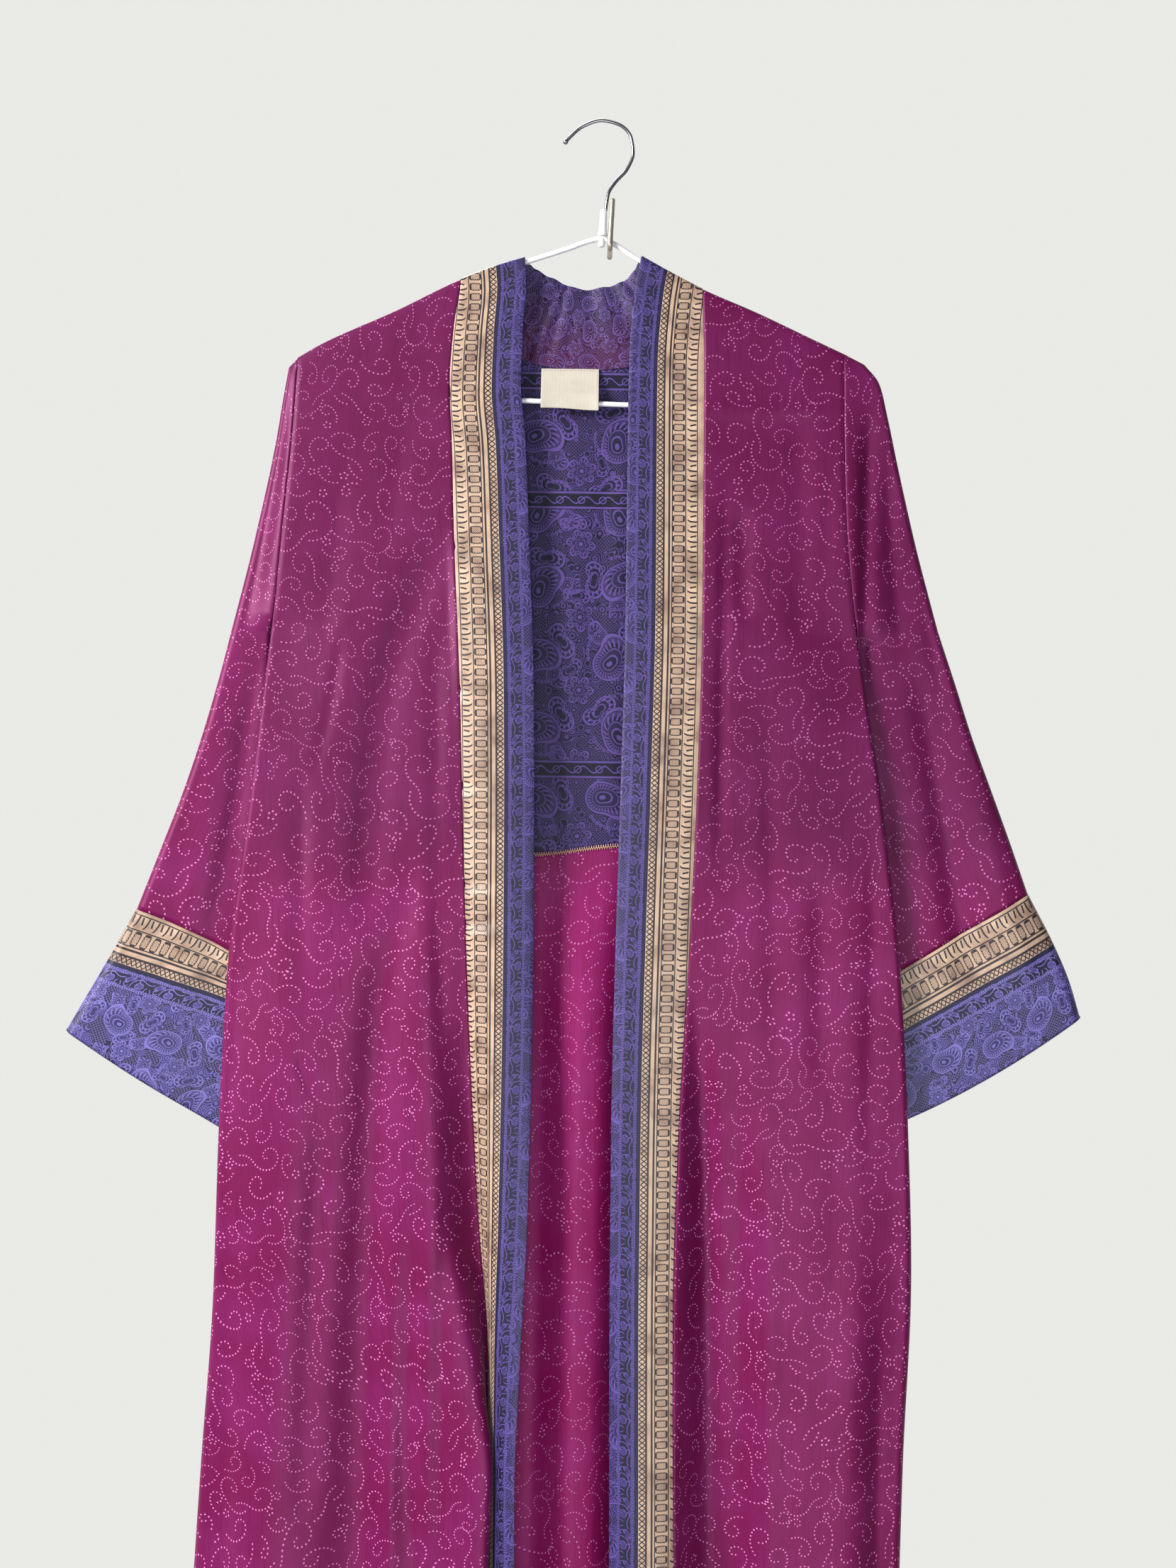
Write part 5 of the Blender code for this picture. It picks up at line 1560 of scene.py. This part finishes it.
    def make(self, finishes: Finishes) -> None:
        """Args:
            finishes: The robe's finishes.
        """
        silk, dark = finishes.magenta.make(), finishes.back.make()
        for half, shift in ((Half.LEFT, (31, 12)), (Half.RIGHT, (8, 55))):
            grid, uv = self.front(half)
            make_cloth("front_panel_" + half.value, grid, uv + shift, silk)
        grid, uv = self.back()
        row = self.waist_row
        make_cloth("upper_back", grid[:row + 1], uv[:row + 1], dark)
        # The lower back takes the lighter copy of the silk: painted light
        make_cloth("lower_back", grid[row:], uv[row:], finishes.lower.make())
        self.yoke_seam(grid, finishes)

    def yoke_seam(self, grid: Array, finishes: Finishes) -> None:
        """Overlock along the waist seam's allowance, inside the back: leaning loops of thread.

        Args:
            grid: Points of the whole back.
            finishes: The robe's finishes.
        """
        run = run_length(grid[self.waist_row], 0)
        column = np.interp(np.arange(14, run[-1] - 14, 1.9), run, np.arange(len(run)))
        base = grid_sample(grid, np.full(len(column), float(self.waist_row)), column)
        lean = np.linspace(0, 1, 6)
        bow, rise = 0.75 + 0.35 * np.sin(math.pi * lean), 1.9 * (2 * lean - 1)
        paths = [base[:, None] + points(1.5 * (lean - 0.5) - 0.4 * way, bow, way * rise - 0.6)
                 for way in (1, -1)]
        sew("yoke_overlock", np.concatenate(paths), 0.27, finishes.gold_thread.make(), "violet_silk")


@dataclass(frozen=True)
class Bands:
    """Front bands and neck band: doubled strips of violet print and gold border."""

    cells: int = 16
    neck_rows: int = 120
    neck_cells: int = 22
    puckers: tuple[float, ...] = (-239, -351, -427, -504, -535)

    def front(self, panels: Panels, half: Half) -> tuple[Array, Array]:
        """Points of a front band: on each row, a parabola through its three lines.

        Args:
            panels: The panels, whose rows it shares.
            half: Side of the robe.

        Returns:
            The points, and the cloth's places: distance from the free edge, and height.
        """
        seam, middle, free = (band_point(half, line, panels.band_levels(half, line))[:, None]
                              for line in ("seam", "middle", "free"))
        across = np.linspace(0, 1, self.cells + 1)
        t = across[:, None]
        grid = (1 - t) * (1 - 2 * t) * seam + 4 * t * (1 - t) * middle + t * (2 * t - 1) * free
        grid[:len(panels.top_drops), :, 1] += 0.25
        down = np.abs(grid[..., 2] - grid[:1, :, 2])
        grid[..., 1] += 0.35 * np.sin(down / 23) * np.sin(down / 61 + 1) * ease(down / 60) * across
        for level in self.puckers if half is Half.LEFT else ():
            off = grid[..., 2] - level - 5 * across
            crease = 1.5 * bell((off + 7) / 6) - 1.3 * bell(off / 4.5)
            grid[..., 1] += crease * (1 - ease((across - 0.5) / 0.3))
        return grid, points(-off_column(grid, -1), grid[..., 2])

    def neck(self) -> tuple[Array, Array]:
        """Points of the neck band: straight across from the seam to the free edge.

        At its two ends it folds over the hanger's arm: its height is the crest's less a drop.
        The free edge waves a little.

        Returns:
            The points, and the cloth's places: distance from the free edge, and along it.
        """
        ends = np.array([0, 0.003, 0.006, 0.01, 0.016, 0.022])
        share = np.concatenate([ends, np.linspace(0.03, 0.97, self.neck_rows + 1), 1 - ends[::-1]])
        free = points(*(read(NECK_FREE, share, name) for name in ("x", "depth", "z")))
        across = np.linspace(0, 1, self.neck_cells + 1)
        t = across[:, None]
        grid = neck_seam(share)[:, None] * (1 - t) + free[:, None] * t
        share = share[:, None]
        end = np.minimum(share, 1 - share)
        drop = follow(end, np.array([0, 0.003, 0.01, 0.03]), np.array([0, 0.4, 1.2, 5]))
        by_end = 1 - ease((end - 0.03) / 0.09)
        grid[..., 2] += (crest(grid[..., 0]) - drop - grid[..., 2]) * by_end
        grid[..., 1] += (read(HANG, drop, "back") - 0.3 - grid[..., 1]) * by_end
        wave = np.sin(share * 34) * np.sin(share * 13 + 0.8) * ease((end - 0.06) / 0.1) * across ** 2
        pleat = np.sin(share * 74 + 3.4 * np.sin(share * 13 + 1)) * ease((end - 0.06) / 0.08)
        pleat *= 0.75 + 0.5 * np.sin(share * 21)
        grid[..., 1] += (1.1 * wave + 0.9 * (1 - across) ** 6 * (1 - by_end)
                         + 0.6 * pleat * np.sin(math.pi * (0.15 + 0.8 * across)))
        grid[..., 2] += 0.7 * wave
        return grid, points(-off_column(grid, -1), run_length(grid, 0)[:, 8:9])

    def make(self, panels: Panels, finishes: Finishes) -> None:
        """Args:
            panels: The panels that they are sewn to.
            finishes: The robe's finishes.
        """
        brocade, thread = finishes.band.make(), finishes.violet_thread.make()
        for half, shift in ((Half.LEFT, 0), (Half.RIGHT, 13)):
            grid, uv = self.front(panels, half)
            make_cloth("gold_band_" + half.value, grid, uv + (0, shift), brocade)
            self.topstitch(grid, half, thread)
        make_cloth("neck_collar", *self.neck(), finishes.neck.make())

    def topstitch(self, grid: Array, half: Half, thread: Material) -> None:
        """A run of small stitches beside the free edge, each bowed over the cloth.

        Args:
            grid: The band's points.
            half: Side of the robe.
            thread: Finish of the thread.
        """
        cut = CUTS["gold_band_" + half.value]
        run = run_length(grid[:, -2], 0)
        lean = np.linspace(0, 2, 5)
        row = np.interp(np.arange(9, run[-1] - 6, 3.1)[:, None] + lean, run, np.arange(len(run)))
        paths = grid_sample(grid, row, np.full(row.shape, self.cells - 0.75))
        paths[..., 1] += 0.5 * cut.wall + 0.16 * np.sin(lean / 2 * math.pi)
        sew("band_stitches_" + half.value, paths, 0.16, thread, cut.slot)


@dataclass(frozen=True)
class Sleeves:
    """Sleeves and cuffs: flat tubes that hang behind the body."""

    turn_cells: int = 6
    flat_cells: int = 26
    head_rows: int = 44
    tube_rows: int = 66
    cuff_rows: int = 42
    arch_rows: int = 5
    arch_radius: float = 3.5
    gold_width: float = 43.5

    def section(self, half: Half, rows: Table, is_open: Array) -> Array:
        """Points round the tube, from the front's inner end to the back's.

        Along the chord from the inner to the outer fold the cloth turns round by quarter
        circles. Its depth is the middle plus or less half of the thickness.

        Args:
            half: Side of the robe.
            rows: Each row's ends, sag, and middle and half thickness at its ends.
            is_open: From 0, where the inner end is a fold, to 1, where it is a seam.

        Returns:
            Points by row and column.
        """
        rows = {name: values[:, None] for name, values in rows.items()}
        inner_x, inner_z, begin = rows["inner_x"], rows["inner_z"], rows["inner_half"]
        wide, high = rows["outer_x"] - inner_x, rows["outer_z"] - inner_z
        length = np.hypot(wide, high)
        angle = np.linspace(0, math.pi / 2, self.turn_cells + 1)
        turn_in = np.minimum(begin, 0.25 * length) * (1 - np.cos(angle))
        turn_out = length - np.minimum(rows["half"], 0.25 * length) * (1 - np.cos(angle))[::-1]
        cells = np.linspace(0, 1, self.flat_cells + 1)[1:-1]
        run = turn_in[:, -1:] + (turn_out[:, :1] - turn_in[:, -1:]) * cells
        t = np.concatenate([turn_in, run, turn_out], axis=1) / length
        rise = np.ones_like(t)
        rise[:, -self.turn_cells - 1:] = np.sin(angle)[::-1]
        rise[:, :self.turn_cells + 1] = np.sin(angle) + (1 - np.sin(angle)) * is_open[:, None]
        x, z = inner_x + wide * t, inner_z + high * t + rows["sag"] * 4 * t * (1 - t)
        calm = ease(t / 0.75)
        middle = rows["inner_middle"] + (rows["middle"] - rows["inner_middle"]) * calm
        lift = (begin + (rows["half"] - begin) * calm) * rise
        relief = fold_relief(SLEEVE_FOLDS[half], x, z, 0.25) * rise * ease((1 - t) / 0.15)
        back = points(x, middle - lift + 0.35 * relief, z)
        return np.concatenate([points(x, middle + lift - relief, z), back[:, -2::-1]], axis=1)

    def tube(self, half: Half, columns: Table, at: Array) -> Array:
        """Closed stretches of a sleeve or a cuff.

        Args:
            half: Side of the robe.
            columns: The sections' table.
            at: Places along it.

        Returns:
            Points by row and column.
        """
        rows = {name: read(columns, at, name) for name in columns}
        rows |= {"inner_middle": rows["middle"], "inner_half": rows["half"]}
        return self.section(half, rows, np.zeros(len(at)))

    def head(self, half: Half) -> Array:
        """The stretch along the armhole, whose inner ends lie on its seam.

        Args:
            half: Side of the robe.

        Returns:
            Points by row and column.
        """
        share = np.linspace(0.07, 0.965, self.head_rows)
        columns = {name: np.append(values, 1 if name == "share" else SLEEVE_TUBES[half][name][0])
                   for name, values in SLEEVE_HEADS[half].items()}
        tip = SIDES[half]["z"][0]
        z = tip + (UNDERARMS[half] - tip) * share
        front, back = (armhole_depth(half, layer, z) for layer in Layer)
        inset = 0.1 + 0.2 * ease((UNDERARMS[half] + 50 - z) / 50)
        rows = {name: read(columns, share, name) for name in columns}
        rows |= {"inner_x": side_x(half, z) - half.inward * inset, "inner_z": z, "sag": 0 * z,
                 "inner_middle": 0.5 * (front + back), "inner_half": 0.5 * (front - back)}
        grid = self.section(half, rows, 1 - ease((share - 0.9) / 0.1))
        column = np.arange(grid.shape[1])
        way = np.where(column < len(column) // 2, 1, -1)
        grid[..., 1] -= way * seam_pinch(half, z)[:, None] * bell(np.minimum(column, column[::-1]) / 1.6)
        return grid

    def sleeve(self, half: Half) -> Array:
        """Points of a sleeve: an arch over the shoulder tip, its head, then its tube.

        Args:
            half: Side of the robe.

        Returns:
            Points by row and column.
        """
        head = self.head(half)
        angle = np.linspace(math.pi / 2, -math.pi / 2, head.shape[1])
        tip = SIDES[half]["z"][0]
        z = tip - (tip - UNDERARMS[half]) * 0.024 * (1 - np.cos(angle))
        arch = points(side_x(half, z) - half.inward * 0.1,
                      HANGER_DEPTH + self.arch_radius * np.sin(angle), z)
        t = np.linspace(0, 1, self.arch_rows + 1)[:-1, None, None]
        tube = self.tube(half, SLEEVE_TUBES[half], np.linspace(0, 5, self.tube_rows + 1))
        return np.concatenate([arch * (1 - t) + head[:1] * t, head, tube])

    def cuff(self, half: Half) -> tuple[Array, Array]:
        """Points of a cuff, and the cloth's places: distance from its seam, and round it.

        The gold border is as wide everywhere as its share of the cuff, and the violet
        beyond it is as long as the cloth.

        Args:
            half: Side of the robe.

        Returns:
            The points and the cloth's places.
        """
        at = np.linspace(0, 3, self.cuff_rows + 1)
        grid = self.tube(half, CUFFS[half], at)
        length = run_length(grid, 0)
        gold = self.gold_width * np.minimum(at, 1)[:, None]
        beyond = np.maximum(length - length[np.searchsorted(at, 1)], 0)
        return grid, points(gold + beyond, off_column(grid, grid.shape[1] // 2))

    def make(self, finishes: Finishes) -> None:
        """Build both sleeves, both cuffs and the cuffs' hems.

        Args:
            finishes: The robe's finishes.
        """
        silk = bpy.data.materials["magenta_silk_finish"]
        brocade, thread = finishes.cuff.make(), finishes.dark_thread.make()
        for half in Half:
            grid = self.sleeve(half)
            uv = points(off_column(grid, grid.shape[1] // 2) + 22, -run_length(grid, 0))
            make_cloth("silk_sleeve_" + half.value, grid, uv, silk, closed=True)
        for half in Half:
            grid, uv = self.cuff(half)
            make_cloth("wide_cuff_" + half.value, grid, uv, brocade, closed=True)
            self.hem(grid, half, thread)

    @staticmethod
    def hem(grid: Array, half: Half, thread: Material) -> None:
        """Dark overlock round the cuff's hem: loops of thread over its edge.

        Args:
            grid: The cuff's points.
            half: Side of the robe.
            thread: Finish of the thread.
        """
        run = run_length(grid[-1], 0)
        column = np.interp(np.arange(0.8, run[-1], 1.5), run, np.arange(len(run)))
        at_edge, inside = (grid_sample(np.stack([line, line]), np.zeros(len(column)), column)
                           for line in (grid[-1], grid[-2]))
        down, along = unit(at_edge - inside), unit(np.gradient(at_edge, axis=0))
        out = np.cross(down, along)
        angle = np.linspace(-0.72 * math.pi, 0.72 * math.pi, 9)[:, None]
        paths = (at_edge[:, None] + down[:, None] * (0.55 * np.cos(angle) - 0.35)
                 + out[:, None] * 0.85 * np.sin(angle) + along[:, None] * 0.42 * angle / math.pi)
        sew("cuff_overlock_" + half.value, paths, 0.3, thread, "brocade")


@dataclass(frozen=True)
class Label:
    """Blank woven label: sewn along its top, lying on the hanger's bar."""

    columns: int = 22
    rows: int = 20
    full_drop: float = 33

    def make(self, finishes: Finishes) -> None:
        """Args:
            finishes: The robe's finishes.
        """
        x = np.linspace(*LABEL_CORNERS, self.columns + 1)
        drop = np.linspace(0, self.full_drop, self.rows + 1)[:, None]
        across = (x - x[0]) / (x[-1] - x[0])
        free = ease(drop / self.full_drop)
        depth = read(LABEL_HANG, drop, "depth") + 1.2 * free * (2 * across - 1) ** 4
        grid = points(x, depth, LABEL_TOP - drop + (0.5 * np.sin(across * 5) - 1.1 * across) * free)
        make_cloth("woven_label", grid, points(x, -drop), finishes.label.make())
        stations = np.arange(1.5, 43, 2.6)[:, None] + np.linspace(0, 1.9, 5)
        column = stations / (x[-1] - x[0]) * self.columns
        paths = grid_sample(grid, np.full(column.shape, 0.9), column)
        paths[..., 1] += 0.35 + 0.12 * np.sin(np.linspace(0, math.pi, 5))
        sew("label_stitches", paths, 0.14, finishes.pale_thread.make(), "label_tape")


@dataclass(frozen=True)
class Hanger:
    """White wire hanger with its steel hook, its neck and the knuckle under it."""

    wire_radius: float = 2.05
    hook_radius: float = 1.35
    ball_radius: float = 2.1
    below_crest: float = 3.8
    apex: tuple[float, float] = (-6.8, 8.9)
    neck_top: float = 31.3
    neck_lean: float = math.radians(1.9)
    neck_middle: float = -5

    def arm(self, half: Half) -> Array:
        """Points of one arm, apex to its end, then round its end to the bar.

        Args:
            half: Side of the hanger.

        Returns:
            The points in order.
        """
        x = np.linspace(self.apex[0] - 4.6 * half.inward, ARM_ENDS[half], 70)
        z = crest(x) - self.below_crest
        z += (self.apex[1] - 0.6 - z) * ease(1 - np.abs(x - self.apex[0]) / 26) * 0.35
        slope = math.atan2(z[-1] - z[-2], abs(x[-1] - x[-2]))
        radius = (z[-1] - BAR_HEIGHTS[half]) / (1 + math.cos(slope))
        turn = np.linspace(math.pi / 2 + slope, -math.pi / 2, 26)[1:]
        arc_x = x[-1] - half.inward * radius * (math.sin(slope) + np.cos(turn))
        arc_z = z[-1] - radius * (math.cos(slope) - np.sin(turn))
        return points(np.append(x, arc_x), HANGER_DEPTH, np.append(z, arc_z))

    def loop(self) -> Array:
        """Closed path of the wire: left arm, bar, right arm, and a small bend at the apex.

        Returns:
            The points in order.
        """
        left, right = self.arm(Half.LEFT), self.arm(Half.RIGHT)
        share = np.linspace(0, 1, 60)[1:-1, None]
        bar = left[-1] + (right[-1] - left[-1]) * share - np.array([0, 0, 0.6]) * np.sin(math.pi * share)
        top = points(self.apex[0] + np.array([2.4, 0, -2.4]), HANGER_DEPTH,
                     self.apex[1] - np.array([0.5, 0, 0.5]))
        return np.concatenate([left, bar, right[::-1], top])

    @staticmethod
    def turned(name: str, profile: Table, foot: tuple[float, float], lean: float,
               material: Material) -> Piece:
        """A piece turned on a lathe: a radius for each height, round a leaning line.

        Args:
            name: Name of the piece.
            profile: Its radius at each height.
            foot: Place across and height of its lower end.
            lean: Angle of the line from upright, in radians.
            material: Its finish.

        Returns:
            The object.
        """
        height = np.linspace(0, profile["height"][-1], 26)
        path = points(foot[0] + height * math.sin(lean), HANGER_DEPTH, foot[1] + height * math.cos(lean))
        return make_tube(name, path, read(profile, height, "radius"), material, 28)

    def make(self, finishes: Finishes) -> None:
        """Build the wire, the neck, the knuckle and the hook.

        Args:
            finishes: The robe's finishes.
        """
        white, chrome = finishes.coating.make(), finishes.chrome.make()
        settle(make_tube("hanger_wire", self.loop(), self.wire_radius, white, 18, True),
               "white_coating", "hanger_frame")
        bottom = self.apex[1] + self.wire_radius - 0.4
        height = self.neck_top - bottom
        profile = table("height radius", (0, 3.6), (0.6, 3.9), (3.5, 3.5), (9, 3),
                        (height - 1.2, 2.75), (height - 0.4, 2.5), (height, 1.9))
        shift = 0.5 * height * math.sin(self.neck_lean)
        settle(self.turned("hanger_neck_sleeve", profile, (self.neck_middle - shift - 0.6, bottom),
                           self.neck_lean, white), "white_coating", "hanger_neck")
        knuckle = table("height radius",
                        (0, 1.6), (0.5, 2.4), (2, 2.7), (5.6, 2.7), (6.6, 2.6), (7.2, 2))
        settle(self.turned("hanger_knuckle", knuckle, (self.apex[0] + 0.2, self.apex[1] - 7.2), 0,
                           white), "white_coating")
        share = np.concatenate([np.linspace(0, 0.06, 12), np.linspace(0.06, 1, 90)[1:]])
        hook = points(read(HOOK_PATH, share, "x"), HANGER_DEPTH, read(HOOK_PATH, share, "z"))
        along = run_length(hook, 0)
        ball = np.sqrt(np.maximum(self.ball_radius ** 2 - (along - self.ball_radius) ** 2, 0.02))
        radius = np.where(along < self.ball_radius, ball, np.maximum(ball, self.hook_radius))
        settle(make_tube("hanger_hook_wire", hook, radius, chrome), "bright_wire", "hanger_hook")


@dataclass(frozen=True)
class WallHook:
    """L-shaped wall hook: level shank out of the wall, a bend, and an upright leg."""

    radius: float = 2.1
    leg_depth: float = 26.45
    bend: float = 4
    top: float = 39.2
    lean: float = 1.6

    def make(self, finishes: Finishes) -> None:
        """Build the bar, rounded at its top.

        Args:
            finishes: The robe's finishes.
        """
        turn, cap = np.linspace(0, math.pi / 2, 14), np.linspace(0, 1.45, 7)[1:]
        straight = self.leg_depth - self.bend
        shank = np.linspace(0, straight, 8)[:-1]
        leg = np.append(np.linspace(self.bend, self.top - 2, 16)[1:], self.top - 2 * (1 - np.sin(cap)))
        depth = np.concatenate([shank, straight + self.bend * np.sin(turn),
                                np.full(len(leg), self.leg_depth)])
        z = np.concatenate([0 * shank, self.bend * (1 - np.cos(turn)), leg])
        x = self.lean * np.maximum(z - self.bend, 0) / (self.top - self.bend)
        radius = np.full(len(z), self.radius)
        radius[-len(cap):] *= np.cos(cap) ** 0.5
        settle(make_tube("wall_hook_bar", points(x, depth, z), radius, finishes.nickel.make(), 22,
                         reference=(1, 0, 0)), "nickel", "wall_hook")


@dataclass(frozen=True)
class Studio:
    """Pale floor, soft lights, and a camera at the photograph's angle."""

    distance: float = 1.522
    focus: float = 1.5
    middle: tuple[float, float] = (-0.0117, -0.4225)
    frame_height: float = 1.239
    roll: float = math.radians(0.76)
    floor_height: float = -1.46
    floor_radius: float = 0.94
    floor_points: int = 96
    world: Ink = Ink(233, 233, 230)
    dim: Ink = Ink(122, 123, 127)
    bright_side: Triple = (-0.35, 0.9, 0.25)

    def camera(self) -> None:
        """Camera level in front of the wall, turned a little about its own line of sight."""
        data = bpy.data.cameras.new("photo_camera")
        data.sensor_fit = "VERTICAL"
        data.sensor_height = 36
        data.lens = data.sensor_height * self.focus / self.frame_height
        data.clip_end = 20
        item = link(bpy.data.objects.new("photo_camera", data))
        turn = Matrix.Rotation(math.pi / 2, 4, "X") @ Matrix.Rotation(self.roll, 4, "Z")
        item.matrix_world = Matrix.Translation((self.middle[0], -self.distance, self.middle[1])) @ turn
        bpy.context.scene.camera = item

    @staticmethod
    def light(name: str, place: Triple, size: float, power: float, tint: Triple) -> None:
        """A square soft light that looks at the middle of the robe.

        Args:
            name: Its name.
            place: Its place in metres.
            size: Its side in metres.
            power: Its power in watts.
            tint: Its colour.
        """
        data = bpy.data.lights.new(name, "AREA")
        data.size, data.energy, data.color = size, power, tint
        item = link(bpy.data.objects.new(name, data))
        x, y, z = np.array([0, 0, -0.45]) - np.array(place)
        item.location = place
        item.rotation_euler = (math.pi / 2 + math.atan2(z, math.hypot(x, y)), 0,
                               math.atan2(y, x) - math.pi / 2)

    def floor(self) -> None:
        """Round floor below the robe."""
        angle = np.linspace(0, TURN, self.floor_points, endpoint=False)
        rim = points(self.floor_radius * np.cos(angle), self.floor_radius * np.sin(angle), self.floor_height)
        material = PlainFinish("pale_floor", Ink(176, 176, 173), Ink(172, 172, 169), 0.9,
                               grain=6, bump=0.02).make()
        make_object("pale_floor", rim, [list(range(self.floor_points))], material)

    def room(self) -> None:
        """Pale room that is dimmer towards the camera's right, by the direction in it."""
        loom = Loom(bpy.data.worlds.new("pale_room"))
        facing = loom.out("TexCoord", (), "Generated")
        share = facing.vector("DOT_PRODUCT", self.bright_side).smooth(-0.6, 0.45)
        tone = loom.mix(share, self.dim, self.world)
        bpy.context.scene.world = loom.end("Background", {"Color": tone}, "OutputWorld")

    def make(self) -> None:
        """Set up the camera, the lights, the room and the floor."""
        self.camera()
        self.light("key", (-2, -1.5, 0.5), 1, 188, (1, 0.985, 0.96))
        self.light("fill", (0.3, -2.4, -1.1), 1.6, 52, (0.96, 0.98, 1))
        self.light("rear", (-0.6, 1.9, 2.1), 1.2, 70, (1, 1, 1))
        self.room()
        bpy.context.scene.view_settings.view_transform = "Standard"
        self.floor()


def main() -> None:
    """Build every piece of the robe, its hanger and its hook, then the studio."""
    logging.basicConfig(level=logging.INFO, format="%(name)s %(message)s")
    finishes = Finishes()
    Studio().make()
    panels = Panels()
    panels.make(finishes)
    Bands().make(panels, finishes)
    for maker in (Sleeves(), Label(), Hanger(), WallHook()):
        maker.make(finishes)


if __name__ == "__main__":
    main()
